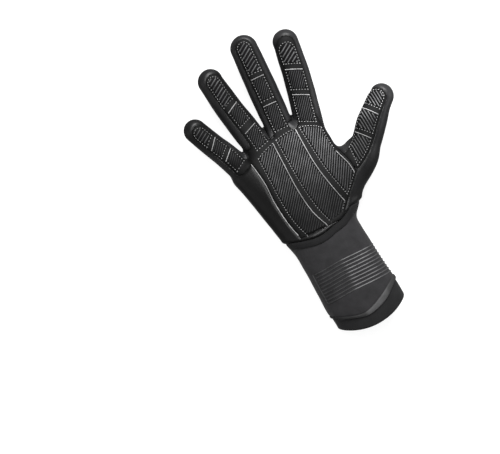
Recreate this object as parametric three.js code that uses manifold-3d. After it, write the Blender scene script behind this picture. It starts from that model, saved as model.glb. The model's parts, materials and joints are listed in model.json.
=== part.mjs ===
// Right-hand diving glove of 3 mm neoprene, lying palm up.
// Millimetres. +X is the thumb side, +Y the fingertips, +Z up, away from the resting surface.

import * as THREE from 'three';
import { mergeVertices } from 'three/addons/utils/BufferGeometryUtils.js';
import Module from 'manifold-3d';

const wasm = await Module();
wasm.setup();

// Overall sizes
const gloveLength = 300;
const handWidth = 105;
const handThickness = 40;
const cuffWidth = 72;
const cuffHeight = 54;
const wallThickness = 3;

// Outside widths of the fingers and the thumb where they are roundest
const indexWidth = 26;
const middleWidth = 27.5;
const ringWidth = 26.5;
const littleWidth = 23.5;
const thumbWidth = 29.5;
const fingerFlatness = 0.96;

// Joints between pieces
const seamGap = 0.3;
const seatGap = 0.3;
const endBandStep = 0.8;

// Raised pieces: how far each stands off the skin
const gripRise = 1.1;
const tapeRise = 0.9;
const wristBandRise = 1.4;
const ribRise = 0.9;
const badgeRise = 0.75;
const badgeRingRise = 1.05;

// Widths of bands, tapes, ribs and margins
const knuckleTapeWidth = 4.6;
const tapeEndInset = 4.2;
const wristBandWidth = 6.8;
const hemTapeWidth = 4.5;
const ribPitch = 3.3;
const ribWidth = 1.7;
const ribCount = 10;
const ribGroupStart = 38.2;
const badgeRadius = 12.5;
const badgeRingWidth = 1.2;
const stripMargin = 2.2;
const endRise = 10;
const hemHeight = 14;

// The ribbed cuff stands this far up, so that its ribs just clear the surface
const cuffStand = ribRise + seatGap;

// Fineness of the rounded forms
const bodySides = 22;
const fingerSides = 12;
const fingerSteps = 4;
const tipRings = 2;
const curveSteps = 7;

// Height between the palm wall and the back wall, inside every hollow
const parting = 0.61 * handThickness;
const farAway = 2 * gloveLength;

// Colours of the materials
const finishes = {
    smoothSkin: { color: 0x3c3c3e, roughness: 0.42, metalness: 0 },
    palmJersey: { color: 0x1d1d1f, roughness: 0.85, metalness: 0 },
    gripRubber: { color: 0x4b4b4d, roughness: 0.6, metalness: 0 },
    cuffJersey: { color: 0x343436, roughness: 0.9, metalness: 0 },
    cuffRubber: { color: 0x6a6a6c, roughness: 0.55, metalness: 0 },
    tape: { color: 0x262628, roughness: 0.5, metalness: 0 },
};

// Cross-sections of cuff and hand, from the open end to the finger webs.
// along: share of gloveLength. left, right: shares of wide. low, high: shares of tall.
// floor: the height that the section is flattened to. ends: 1 where the hollow stops short by a wall.
const cuffRow = { wide: cuffWidth, tall: cuffHeight, ends: 0 };
const handRow = { wide: handWidth, tall: handThickness, ends: 0 };
const bodyRows = [
    { ...cuffRow, along: -0.03, left: -0.5, right: 0.5, low: -0.015, high: 1.02, floor: cuffStand },
    { ...cuffRow, along: 0.04, left: -0.507, right: 0.493, low: -0.015, high: 1.02, floor: cuffStand },
    { ...cuffRow, along: 0.095, left: -0.539, right: 0.472, low: -0.015, high: 1.02, floor: cuffStand },
    { ...cuffRow, along: 0.165, left: -0.553, right: 0.421, low: -0.01, high: 1.0, floor: cuffStand },
    { ...cuffRow, along: 0.24, left: -0.572, right: 0.383, low: 0.0, high: 0.963, floor: cuffStand },
    { ...cuffRow, along: 0.295, left: -0.597, right: 0.356, low: 0.02, high: 0.907, floor: 0 },
    { ...cuffRow, along: 0.325, left: -0.632, right: 0.35, low: 0.02, high: 0.87, floor: 0 },
    { ...handRow, along: 0.365, left: -0.476, right: 0.295, low: -0.025, high: 1.12, floor: 0 },
    { ...handRow, along: 0.415, left: -0.51, right: 0.352, low: -0.04, high: 1.07, floor: 0 },
    { ...handRow, along: 0.475, left: -0.552, right: 0.371, low: -0.05, high: 1.03, floor: 0 },
    { ...handRow, along: 0.535, left: -0.595, right: 0.357, low: -0.05, high: 0.98, floor: 0 },
    { ...handRow, along: 0.595, left: -0.648, right: 0.338, low: -0.03, high: 0.9, floor: 0 },
    { ...handRow, along: 0.635, left: -0.667, right: 0.338, low: 0.02, high: 0.82, floor: 0 },
    { ...handRow, along: 0.655, left: -0.552, right: 0.314, low: 0.09, high: 0.76, floor: 0, ends: 1 },
    { ...handRow, along: 0.675, left: -0.343, right: 0.229, low: 0.2, high: 0.66, floor: 0, ends: 1 },
];
const bodySquareness = 2.4;

// Centrelines of the fingers, from inside the palm to the centre of the round tip.
// across: share of handWidth. along: share of gloveLength. height: share of handThickness.
// girth: share of the finger's own width.
const fingers = {
    index: {
        width: indexWidth,
        rows: [
            { across: 0.162, along: 0.55, height: 0.46, girth: 1.0 },
            { across: 0.229, along: 0.683, height: 0.44, girth: 1.05 },
            { across: 0.295, along: 0.81, height: 0.5, girth: 1.0 },
            { across: 0.328, along: 0.9217, height: 0.64, girth: 0.94 },
        ],
    },
    middle: {
        width: middleWidth,
        rows: [
            { across: -0.038, along: 0.55, height: 0.46, girth: 1.0 },
            { across: -0.041, along: 0.69, height: 0.44, girth: 1.0 },
            { across: -0.038, along: 0.817, height: 0.5, girth: 1.02 },
            { across: -0.038, along: 0.957, height: 0.66, girth: 0.95 },
        ],
    },
    ring: {
        width: ringWidth,
        rows: [
            { across: -0.257, along: 0.55, height: 0.46, girth: 1.0 },
            { across: -0.319, along: 0.7, height: 0.44, girth: 1.03 },
            { across: -0.39, along: 0.81, height: 0.5, girth: 0.98 },
            { across: -0.437, along: 0.907, height: 0.64, girth: 0.92 },
        ],
    },
    little: {
        width: littleWidth,
        rows: [
            { across: -0.448, along: 0.55, height: 0.46, girth: 1.0 },
            { across: -0.576, along: 0.663, height: 0.44, girth: 1.02 },
            { across: -0.662, along: 0.723, height: 0.48, girth: 0.97 },
            { across: -0.752, along: 0.788, height: 0.58, girth: 0.94 },
        ],
    },
    thumb: {
        width: thumbWidth,
        rows: [
            { across: 0.114, along: 0.393, height: 0.5, girth: 1.2 },
            { across: 0.19, along: 0.42, height: 0.56, girth: 1.38 },
            { across: 0.314, along: 0.46, height: 0.6, girth: 1.42 },
            { across: 0.481, along: 0.493, height: 0.65, girth: 1.27 },
            { across: 0.595, along: 0.525, height: 0.69, girth: 1.0 },
            { across: 0.71, along: 0.572, height: 0.71, girth: 0.98 },
            { across: 0.819, along: 0.613, height: 0.71, girth: 0.875 },
            { across: 0.9, along: 0.638, height: 0.71, girth: 0.815 },
        ],
    },
};

// Grip pads: from and to are shares of the finger's centreline, half and shift shares of its width.
// half is half the pad's width, shift moves it sideways towards the thumb.
const pads = [
    { finger: 'index', part: 'base', from: 0.3, to: 0.53, half: 0.29, shift: -0.06 },
    { finger: 'index', part: 'middle', from: 0.575, to: 0.75, half: 0.29, shift: -0.06 },
    { finger: 'index', part: 'tip', from: 0.8, to: 0.92, half: 0.28, shift: -0.07 },
    { finger: 'middle', part: 'base', from: 0.31, to: 0.52, half: 0.23, shift: -0.01 },
    { finger: 'middle', part: 'middle', from: 0.56, to: 0.745, half: 0.22, shift: -0.02 },
    { finger: 'middle', part: 'tip', from: 0.785, to: 1.0, half: 0.22, shift: -0.02 },
    { finger: 'ring', part: 'base', from: 0.28, to: 0.465, half: 0.24, shift: 0.14 },
    { finger: 'ring', part: 'middle', from: 0.53, to: 0.7, half: 0.23, shift: 0.11 },
    { finger: 'ring', part: 'tip', from: 0.75, to: 0.965, half: 0.22, shift: 0.06 },
    { finger: 'little', part: 'base', from: 0.3, to: 0.5, half: 0.25, shift: 0.07 },
    { finger: 'little', part: 'middle', from: 0.56, to: 0.72, half: 0.25, shift: 0.04 },
    { finger: 'little', part: 'tip', from: 0.78, to: 0.92, half: 0.24, shift: 0.02 },
    { finger: 'thumb', part: 'base', from: 0.42, to: 0.63, half: 0.24, shift: -0.17 },
    { finger: 'thumb', part: 'middle', from: 0.67, to: 0.84, half: 0.25, shift: -0.17 },
    { finger: 'thumb', part: 'tip', from: 0.885, to: 0.965, half: 0.23, shift: -0.15 },
];

// Strips of palm fabric that carry the pads of each finger
const strips = [
    { finger: 'index', from: 0.08, to: 0.955, half: 0.29, shift: -0.06 },
    { finger: 'middle', from: 0.08, to: 1.0, half: 0.23, shift: -0.02 },
    { finger: 'ring', from: 0.08, to: 0.965, half: 0.24, shift: 0.1 },
    { finger: 'little', from: 0.08, to: 0.92, half: 0.25, shift: 0.04 },
];
const thumbStrip = { finger: 'thumb', from: 0.37, to: 0.96, half: 0.25, shift: -0.13 };

// Levels, as shares of gloveLength, at which the palm's long seams are given, fingers first
const seamLevels = [0.66, 0.55, 0.475, 0.4, 0.34];

// Long seams of the palm, each as shares of handWidth at those levels
const palmSeams = {
    outerEdge: [-0.45, -0.389, -0.381, -0.352, -0.305],
    outerGripOuter: [-0.351, -0.335, -0.326, -0.3, -0.243],
    outerGripInner: [-0.168, -0.157, -0.145, -0.11, -0.04],
    middleGripOuter: [-0.13, -0.11, -0.092, -0.052, 0.008],
    middleGripInner: [0.071, 0.088, 0.124, 0.181, 0.24],
    innerGripOuter: [0.11, 0.143, 0.181, 0.243, 0.31],
    innerGripInner: [0.285, 0.315, 0.372, 0.374, 0.374],
    thumbSeam: [0.3, 0.345, 0.393, 0.393, 0.393],
};

// Cross seams and edges. across: share of handWidth. along: share of gloveLength.
const gripTop = [
    { across: -0.45, along: 0.614 },
    { across: -0.35, along: 0.62 },
    { across: -0.27, along: 0.634 },
    { across: -0.13, along: 0.651 },
    { across: 0, along: 0.659 },
    { across: 0.12, along: 0.657 },
    { across: 0.21, along: 0.647 },
    { across: 0.3, along: 0.627 },
    { across: 0.42, along: 0.59 },
];
const gripBottom = [
    { across: -0.36, along: 0.358 },
    { across: -0.24, along: 0.336 },
    { across: -0.14, along: 0.333 },
    { across: -0.04, along: 0.341 },
    { across: 0.04, along: 0.349 },
    { across: 0.12, along: 0.357 },
    { across: 0.17, along: 0.378 },
    { across: 0.24, along: 0.403 },
    { across: 0.38, along: 0.457 },
    { across: 0.5, along: 0.5 },
];
const palmPanelBottom = [
    { across: -0.6, along: 0.3 },
    { across: -0.1, along: 0.3 },
    { across: 0.09, along: 0.325 },
    { across: 0.18, along: 0.37 },
    { across: 0.25, along: 0.396 },
    { across: 0.4, along: 0.455 },
    { across: 0.5, along: 0.49 },
];
const wristSeamPalm = [
    { across: -0.9, along: 0.36 },
    { across: -0.457, along: 0.342 },
    { across: -0.38, along: 0.336 },
    { across: -0.286, along: 0.328 },
    { across: -0.19, along: 0.322 },
    { across: -0.095, along: 0.324 },
    { across: 0, along: 0.333 },
    { across: 0.1, along: 0.341 },
    { across: 0.19, along: 0.356 },
    { across: 0.286, along: 0.367 },
    { across: 0.9, along: 0.37 },
];
const wristSeamBack = [
    { across: -0.9, along: 0.36 },
    { across: -0.457, along: 0.342 },
    { across: -0.39, along: 0.317 },
    { across: -0.286, along: 0.286 },
    { across: -0.19, along: 0.275 },
    { across: -0.095, along: 0.275 },
    { across: 0, along: 0.286 },
    { across: 0.095, along: 0.315 },
    { across: 0.19, along: 0.35 },
    { across: 0.286, along: 0.367 },
    { across: 0.9, along: 0.37 },
];
const knuckleSeam = [
    { across: -0.5, along: 0.637 },
    { across: -0.38, along: 0.643 },
    { across: -0.286, along: 0.651 },
    { across: -0.176, along: 0.664 },
    { across: -0.076, along: 0.677 },
    { across: 0.019, along: 0.686 },
    { across: 0.13, along: 0.694 },
];

// Lines that run up between neighbouring fingers
const betweenLittleAndRing = [
    { across: -0.395, along: 0.6 },
    { across: -0.41, along: 0.65 },
    { across: -0.524, along: 0.74 },
    { across: -0.59, along: 0.817 },
    { across: -0.65, along: 1.1 },
];
const betweenRingAndMiddle = [
    { across: -0.18, along: 0.6 },
    { across: -0.176, along: 0.7 },
    { across: -0.219, along: 0.817 },
    { across: -0.25, along: 1.1 },
];
const betweenMiddleAndIndex = [
    { across: 0.085, along: 0.6 },
    { across: 0.092, along: 0.69 },
    { across: 0.119, along: 0.75 },
    { across: 0.136, along: 0.817 },
    { across: 0.15, along: 1.1 },
];

// Hem line of the cuff. across: share of cuffWidth. rise: share of hemHeight.
const hemPalm = [
    { across: -0.8, rise: 1.75 },
    { across: -0.56, rise: 1.62 },
    { across: -0.39, rise: 1.28 },
    { across: -0.15, rise: 0.96 },
    { across: 0, rise: 1.03 },
    { across: 0.2, rise: 1.45 },
    { across: 0.36, rise: 1.98 },
    { across: 0.5, rise: 2.35 },
    { across: 0.8, rise: 2.6 },
];
const hemBack = [
    { across: -0.8, rise: 1.75 },
    { across: -0.56, rise: 1.62 },
    { across: -0.4, rise: 1.12 },
    { across: -0.25, rise: 0.82 },
    { across: -0.05, rise: 0.7 },
    { across: 0.15, rise: 0.83 },
    { across: 0.33, rise: 1.42 },
    { across: 0.5, rise: 2.35 },
    { across: 0.8, rise: 2.6 },
];

// Places on the cuff. across: share of cuffWidth. along: share of gloveLength.
const badgePlace = { across: -0.236, along: 0.172 };
const ribEnds = { palm: -0.46, back: -0.44 };
const endCurve = { middle: -0.055, half: 0.5 };

// A value read from a table of rows by straight lines between them
function between(rows, key, value, at) {
    const last = rows.length - 1;
    let i = 0;
    while (i < last - 1 && rows[i + 1][key] < at) i += 1;
    const share = (at - rows[i][key]) / (rows[i + 1][key] - rows[i][key]);
    return rows[i][value] + share * (rows[i + 1][value] - rows[i][value]);
}

// A smooth plan curve through rows of shares
function planCurve(rows) {
    const points = rows.map((row) => new THREE.Vector2(row.across * handWidth, row.along * gloveLength));
    return new THREE.SplineCurve(points).getPoints(curveSteps);
}

function hemCurve(rows, shift) {
    const points = rows.map((row) => new THREE.Vector2(row.across * cuffWidth, row.rise * hemHeight + shift));
    return new THREE.SplineCurve(points).getPoints(curveSteps);
}

// A long palm seam as a smooth curve, moved sideways by shift
function seamCurve(name, shift) {
    const shares = palmSeams[name];
    const points = shares.map((share, i) => (
        new THREE.Vector2(share * handWidth + shift, seamLevels[i] * gloveLength)
    ));
    return new THREE.SplineCurve(points).getPoints(curveSteps);
}

// Height of a flattened section: nothing reaches below its floor
function rest(height, floor) {
    return Math.max(height, floor);
}

// One point of a cuff or hand section, grown outwards by grow
function bodyPoint(row, side, grow) {
    const angle = (2 * Math.PI * side) / bodySides;
    const halfWide = ((row.right - row.left) * row.wide) / 2 + grow;
    const halfTall = ((row.high - row.low) * row.tall) / 2 + grow;
    const power = 2 / bodySquareness;
    const cos = Math.cos(angle);
    const sin = Math.sin(angle);
    const across = halfWide * Math.sign(cos) * Math.abs(cos) ** power;
    const up = halfTall * Math.sign(sin) * Math.abs(sin) ** power;
    return new THREE.Vector3(
        ((row.left + row.right) * row.wide) / 2 + across,
        row.along * gloveLength + row.ends * grow,
        rest(((row.low + row.high) * row.tall) / 2 + up, row.floor - grow),
    );
}

// The same point at any place along the glove, between the two nearest sections
function bodyPointAt(y, side, grow) {
    const last = bodyRows.length - 1;
    let i = 0;
    while (i < last - 1 && bodyRows[i + 1].along * gloveLength < y) i += 1;
    const near = bodyPoint(bodyRows[i], side, grow);
    const far = bodyPoint(bodyRows[i + 1], side, grow);
    return near.lerp(far, (y - near.y) / (far.y - near.y));
}

// A closed skin over rings of points: sides between neighbouring rings and a fan over each end
function skinOver(rings) {
    const count = rings[0].length;
    const middle = (ring) => (
        ring.reduce((sum, point) => sum.add(point), new THREE.Vector3()).divideScalar(ring.length)
    );
    const points = [...rings.flat(), middle(rings[0]), middle(rings[rings.length - 1])];
    const faces = [];
    for (let r = 0; r < rings.length - 1; r += 1) {
        for (let k = 0; k < count; k += 1) {
            const next = (k + 1) % count;
            const a = r * count + k;
            const b = r * count + next;
            faces.push(a, a + count, b, b, a + count, b + count);
        }
    }
    const start = points.length - 2;
    const end = points.length - 1;
    const lastRing = (rings.length - 1) * count;
    for (let k = 0; k < count; k += 1) {
        const next = (k + 1) % count;
        faces.push(start, k, next);
        faces.push(end, lastRing + next, lastRing + k);
    }
    const geometry = new THREE.BufferGeometry().setFromPoints(points);
    geometry.setIndex(faces);
    return geometry;
}

// A boolean solid made from a closed geometry
function solidOf(geometry) {
    const plain = geometry.clone();
    plain.deleteAttribute('normal');
    plain.deleteAttribute('uv');
    const merged = mergeVertices(plain, 1e-4);
    const mesh = new wasm.Mesh({
        numProp: 3,
        vertProperties: new Float32Array(merged.attributes.position.array),
        triVerts: new Uint32Array(merged.index.array),
    });
    return new wasm.Manifold(mesh);
}

function geometryOf(solid) {
    const mesh = solid.getMesh();
    const geometry = new THREE.BufferGeometry();
    geometry.setAttribute('position', new THREE.BufferAttribute(mesh.vertProperties, 3));
    geometry.setIndex(new THREE.BufferAttribute(mesh.triVerts, 1));
    geometry.computeVertexNormals();
    return geometry;
}

// Cuff and hand as one closed solid, grown outwards by grow
function bodySolid(grow) {
    const rings = bodyRows.map((row) => (
        Array.from({ length: bodySides }, (unused, side) => bodyPoint(row, side, grow))
    ));
    return solidOf(skinOver(rings));
}

function centreline(finger) {
    const points = finger.rows.map((row) => (
        new THREE.Vector3(row.across * handWidth, row.along * gloveLength, row.height * handThickness)
    ));
    return new THREE.CatmullRomCurve3(points);
}

// One finger with its round tip as a closed solid, grown outwards by grow
function fingerSolid(finger, grow) {
    const curve = centreline(finger);
    const last = finger.rows.length - 1;
    const rings = [];
    const addRing = (centre, tangent, radius) => {
        const aside = new THREE.Vector3().crossVectors(tangent, new THREE.Vector3(0, 0, 1)).normalize();
        const upward = new THREE.Vector3().crossVectors(aside, tangent);
        const ring = [];
        for (let k = 0; k < fingerSides; k += 1) {
            const angle = (2 * Math.PI * k) / fingerSides;
            const point = centre.clone();
            point.addScaledVector(aside, Math.cos(angle) * radius);
            point.addScaledVector(upward, Math.sin(angle) * radius * fingerFlatness);
            point.z = rest(point.z, -grow);
            ring.push(point);
        }
        rings.push(ring);
    };
    const steps = Math.max(last, fingerSteps);
    for (let i = 0; i <= steps; i += 1) {
        const place = (i / steps) * last;
        const row = Math.min(Math.floor(place), last - 1);
        const girth = THREE.MathUtils.lerp(finger.rows[row].girth, finger.rows[row + 1].girth, place - row);
        const t = i / steps;
        addRing(curve.getPoint(t), curve.getTangent(t), (girth * finger.width) / 2 + grow);
    }
    const tip = curve.getPoint(1);
    const ahead = curve.getTangent(1);
    const tipRadius = (finger.rows[last].girth * finger.width) / 2 + grow;
    for (let i = 1; i <= tipRings; i += 1) {
        const angle = (i / (tipRings + 0.5)) * (Math.PI / 2);
        const centre = tip.clone().addScaledVector(ahead, Math.sin(angle) * tipRadius);
        addRing(centre, ahead, Math.cos(angle) * tipRadius);
    }
    return solidOf(skinOver(rings));
}

// The whole glove as one closed solid, grown outwards by grow
function gloveSolid(grow) {
    return Object.values(fingers).reduce(
        (glove, finger) => glove.add(fingerSolid(finger, grow)),
        bodySolid(grow),
    );
}

// An upright block over a plan outline, between two heights
function block(outline, low, high) {
    const geometry = new THREE.ExtrudeGeometry(new THREE.Shape(outline), {
        depth: high - low,
        bevelEnabled: false,
    });
    geometry.translate(0, 0, low);
    return solidOf(geometry);
}

// Plan outline of everything further along than a curve that runs across the glove
function beyond(curve) {
    const first = curve[0];
    const last = curve[curve.length - 1];
    return [
        new THREE.Vector2(-farAway, first.y),
        ...curve,
        new THREE.Vector2(farAway, last.y),
        new THREE.Vector2(farAway, farAway),
        new THREE.Vector2(-farAway, farAway),
    ];
}

function shifted(curve, across, along) {
    return curve.map((point) => new THREE.Vector2(point.x + across, point.y + along));
}

// Everything further along than one curve on the palm side and another on the back
function beyondBoth(palmCurve, backCurve, shift) {
    const above = block(beyond(shifted(palmCurve, 0, shift)), parting, farAway);
    const below = block(beyond(shifted(backCurve, 0, shift)), -farAway, parting);
    return above.add(below);
}

// Plan outline between two long palm seams
function betweenSeams(outerName, innerName, grow) {
    const outer = seamCurve(outerName, -grow);
    const inner = seamCurve(innerName, grow);
    return [...outer, ...inner.reverse()];
}

// Plan outline of a strip that follows a finger, with a round end at a fingertip
function stripOutline(strip, grow, roundEnd) {
    const finger = fingers[strip.finger];
    const curve = centreline(finger);
    const half = strip.half * finger.width + grow;
    const shift = strip.shift * finger.width;
    const length = curve.getLength();
    const spots = [];
    const steps = 4;
    const first = strip.from - grow / length;
    const last = strip.to + (roundEnd ? 0 : grow / length);
    for (let i = 0; i <= steps; i += 1) {
        const t = THREE.MathUtils.clamp(THREE.MathUtils.lerp(first, last, i / steps), 0, 1);
        const centre = curve.getPointAt(t);
        const tangent = curve.getTangentAt(t);
        const aside = new THREE.Vector2(tangent.y, -tangent.x).normalize();
        spots.push({ centre: new THREE.Vector2(centre.x, centre.y).addScaledVector(aside, shift), aside });
    }
    const right = spots.map((spot) => spot.centre.clone().addScaledVector(spot.aside, half));
    const left = spots.map((spot) => spot.centre.clone().addScaledVector(spot.aside, -half));
    const outline = [...right];
    if (roundEnd) {
        const end = spots[steps];
        const ahead = new THREE.Vector2(-end.aside.y, end.aside.x);
        const roundSteps = 5;
        for (let i = 1; i < roundSteps; i += 1) {
            const angle = (Math.PI * i) / roundSteps;
            outline.push(end.centre.clone()
                .addScaledVector(end.aside, Math.cos(angle) * half)
                .addScaledVector(ahead, Math.sin(angle) * half));
        }
    }
    return [...outline, ...left.reverse()];
}

// The part of the palm side that is one piece of palm fabric, grown sideways by grow
function palmBlock(grow) {
    const field = block(betweenSeams('outerEdge', 'thumbSeam', grow), parting, farAway);
    const low = block(beyond(shifted(planCurve(palmPanelBottom), 0, -grow)), parting, farAway);
    return strips.reduce(
        (fabric, strip) => (
            fabric.add(block(stripOutline(strip, stripMargin + grow, true), parting, farAway))
        ),
        field.intersect(low),
    );
}

function thumbBlock(grow) {
    return block(stripOutline(thumbStrip, stripMargin + grow, true), parting, farAway);
}

// The upright block that holds one of the two middle fingers beyond the knuckle seam
function fingerBlock(leftRows, rightRows, grow) {
    const left = shifted(planCurve(leftRows), -grow, 0);
    const right = shifted(planCurve(rightRows), grow, 0);
    const column = block([...left, ...right.reverse()], -farAway, farAway);
    const past = block(beyond(shifted(planCurve(knuckleSeam), 0, -grow)), -farAway, farAway);
    return column.intersect(past);
}

// A band that runs round the cuff, open where the turns do not reach all the way.
// centre(point) gives its place along the glove, width(point) its width.
function cuffBand(firstSide, lastSide, centre, width, low, high) {
    const rings = [];
    const closed = lastSide - firstSide >= bodySides;
    const count = closed ? bodySides : lastSide - firstSide;
    for (let i = 0; i <= count; i += 1) {
        const side = firstSide + i;
        let y = centre(bodyPointAt(hemHeight, side, 0));
        y = centre(bodyPointAt(y, side, 0));
        const half = width / 2;
        rings.push([
            bodyPointAt(y - half, side, low),
            bodyPointAt(y + half, side, low),
            bodyPointAt(y + half, side, high),
            bodyPointAt(y - half, side, high),
        ]);
    }
    return closed ? solidOf(ringOver(rings.slice(0, count))) : solidOf(skinOver(rings));
}

// A closed ring over sections that come back to the first one
function ringOver(sections) {
    const corners = sections[0].length;
    const count = sections.length;
    const faces = [];
    for (let s = 0; s < count; s += 1) {
        for (let k = 0; k < corners; k += 1) {
            const a = s * corners + k;
            const b = s * corners + ((k + 1) % corners);
            const c = ((s + 1) % count) * corners + k;
            const d = ((s + 1) % count) * corners + ((k + 1) % corners);
            faces.push(a, c, b, b, c, d);
        }
    }
    const geometry = new THREE.BufferGeometry().setFromPoints(sections.flat());
    geometry.setIndex(faces);
    return geometry;
}

// The shells and blocks that the pieces are cut from
const outside = gloveSolid(0);
const inside = gloveSolid(-wallThickness);
const shell = outside.subtract(inside);
const seat = gloveSolid(seatGap);
const gripShell = gloveSolid(gripRise).subtract(seat);
const tapeShell = gloveSolid(tapeRise).subtract(seat);
const wristShell = bodySolid(wristBandRise).subtract(seat);
const palmHalf = block([
    new THREE.Vector2(-farAway, -farAway),
    new THREE.Vector2(farAway, -farAway),
    new THREE.Vector2(farAway, farAway),
    new THREE.Vector2(-farAway, farAway),
], parting, farAway);

const wristPalmCurve = planCurve(wristSeamPalm);
const wristBackCurve = planCurve(wristSeamBack);
const handSide = beyondBoth(wristPalmCurve, wristBackCurve, seamGap / 2);
const handSideLoose = beyondBoth(wristPalmCurve, wristBackCurve, -seamGap / 2);
const hemPalmCurve = hemCurve(hemPalm, 0);
const hemBackCurve = hemCurve(hemBack, 0);
const cuffSide = beyondBoth(hemPalmCurve, hemBackCurve, seamGap / 2);
const cuffSideLoose = beyondBoth(hemPalmCurve, hemBackCurve, -seamGap / 2);

function endEdge() {
    const points = [];
    const steps = 10;
    for (let i = 0; i <= steps; i += 1) {
        const across = THREE.MathUtils.lerp(-0.7, 0.7, i / steps);
        const rise = endRise * ((across - endCurve.middle) / endCurve.half) ** 2;
        points.push(new THREE.Vector2(across * cuffWidth, rise));
    }
    return block(beyond(points), -farAway, farAway);
}

// Panels of the hand
const handShell = shell.intersect(handSide);
const palmPanel = handShell.intersect(palmBlock(-seamGap / 2));
const thumbPanel = handShell.intersect(thumbBlock(-seamGap / 2)).subtract(palmBlock(seamGap / 2));
const ringRows = [betweenLittleAndRing, betweenRingAndMiddle];
const middleRows = [betweenRingAndMiddle, betweenMiddleAndIndex];
const ringBack = handShell.subtract(palmBlock(seamGap / 2))
    .intersect(fingerBlock(...ringRows, -seamGap / 2));
const middleBack = handShell.subtract(palmBlock(seamGap / 2))
    .intersect(fingerBlock(...middleRows, -seamGap / 2));
const backPanel = handShell.subtract(palmBlock(seamGap / 2))
    .subtract(thumbBlock(seamGap / 2))
    .subtract(fingerBlock(...ringRows, seamGap / 2))
    .subtract(fingerBlock(...middleRows, seamGap / 2));

// Cuff and its end band
const cuffTube = bodySolid(0).subtract(bodySolid(-wallThickness));
const cuff = cuffTube.subtract(handSideLoose).intersect(cuffSide);
const endBand = bodySolid(-endBandStep).subtract(bodySolid(-wallThickness))
    .subtract(cuffSideLoose)
    .intersect(endEdge());

// Raised pieces
function knuckleTape() {
    const curve = planCurve(knuckleSeam);
    const low = beyond(shifted(curve, 0, -knuckleTapeWidth / 2));
    const high = beyond(shifted(curve, 0, knuckleTapeWidth / 2));
    const left = shifted(planCurve(betweenLittleAndRing), tapeEndInset, 0);
    const right = shifted(planCurve(betweenMiddleAndIndex), -tapeEndInset, 0);
    const column = block([...left, ...right.reverse()], -farAway, parting);
    return tapeShell.intersect(column)
        .intersect(block(low, -farAway, parting))
        .subtract(block(high, -farAway, farAway));
}

function wristBand() {
    const low = block(beyond(shifted(wristPalmCurve, 0, -wristBandWidth - seamGap)), parting, farAway);
    const high = block(beyond(shifted(wristPalmCurve, 0, -seamGap)), -farAway, farAway);
    return wristShell.intersect(low).subtract(high);
}

function grip(outerName, innerName) {
    return gripShell.intersect(block(betweenSeams(outerName, innerName, 0), parting, farAway))
        .intersect(block(beyond(planCurve(gripBottom)), parting, farAway))
        .subtract(block(beyond(planCurve(gripTop)), -farAway, farAway));
}

function pad(row) {
    const outline = stripOutline(row, 0, row.part === 'tip');
    const cut = gripShell.intersect(block(outline, parting, farAway));
    return row.finger === 'thumb' ? cut.subtract(palmBlock(seamGap)) : cut;
}

const badgeCentre = {
    x: badgePlace.across * cuffWidth,
    y: badgePlace.along * gloveLength,
};

function badgeBlock(radius) {
    const shape = new THREE.Shape();
    shape.absarc(badgeCentre.x, badgeCentre.y, radius, 0, 2 * Math.PI, false);
    const geometry = new THREE.ExtrudeGeometry(shape, {
        depth: parting,
        bevelEnabled: false,
        curveSegments: 12,
    });
    geometry.translate(0, 0, -parting / 2);
    return solidOf(geometry);
}

function badge() {
    const near = bodySolid(seatGap);
    const disc = bodySolid(badgeRise).subtract(near).intersect(badgeBlock(badgeRadius));
    const ring = bodySolid(badgeRingRise).subtract(near)
        .intersect(badgeBlock(badgeRadius))
        .subtract(badgeBlock(badgeRadius - badgeRingWidth));
    return disc.add(ring);
}

// The side of the section nearest to a place across the cuff, on the palm or on the back
function sideAt(y, across, onPalm) {
    let best = 0;
    let bestMiss = Infinity;
    for (let side = 0; side < bodySides; side += 1) {
        const point = bodyPointAt(y, side, 0);
        const miss = Math.abs(point.x - across * cuffWidth);
        const rightHalf = onPalm === (side <= bodySides / 2);
        if (rightHalf && miss < bestMiss) {
            best = side;
            bestMiss = miss;
        }
    }
    return best;
}

// A rib starts on the back, runs round the thumb side and ends on the palm.
// One that meets the badge starts at the badge's edge.
function cuffRib(index) {
    const y = ribGroupStart + index * ribPitch;
    const reach = badgeRadius + seatGap + ribWidth;
    const meetsBadge = Math.abs(y - badgeCentre.y) < reach;
    const backSide = sideAt(y, meetsBadge ? badgePlace.across + 0.02 : ribEnds.back, false);
    const palmSide = sideAt(y, ribEnds.palm, true) + bodySides;
    const band = cuffBand(backSide, palmSide, () => y, ribWidth, seatGap, ribRise);
    return meetsBadge ? band.subtract(badgeBlock(badgeRadius + seatGap)) : band;
}

function hemTape() {
    const centre = (point) => {
        const rows = point.z > parting ? hemPalm : hemBack;
        return between(rows, 'across', 'rise', point.x / cuffWidth) * hemHeight;
    };
    return cuffBand(0, bodySides, centre, hemTapeWidth, seatGap, tapeRise);
}

const glove = new THREE.Group();

function addPiece(name, solid, finish) {
    const material = new THREE.MeshStandardMaterial(finishes[finish]);
    const mesh = new THREE.Mesh(geometryOf(solid), material);
    mesh.name = name;
    glove.add(mesh);
}

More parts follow.
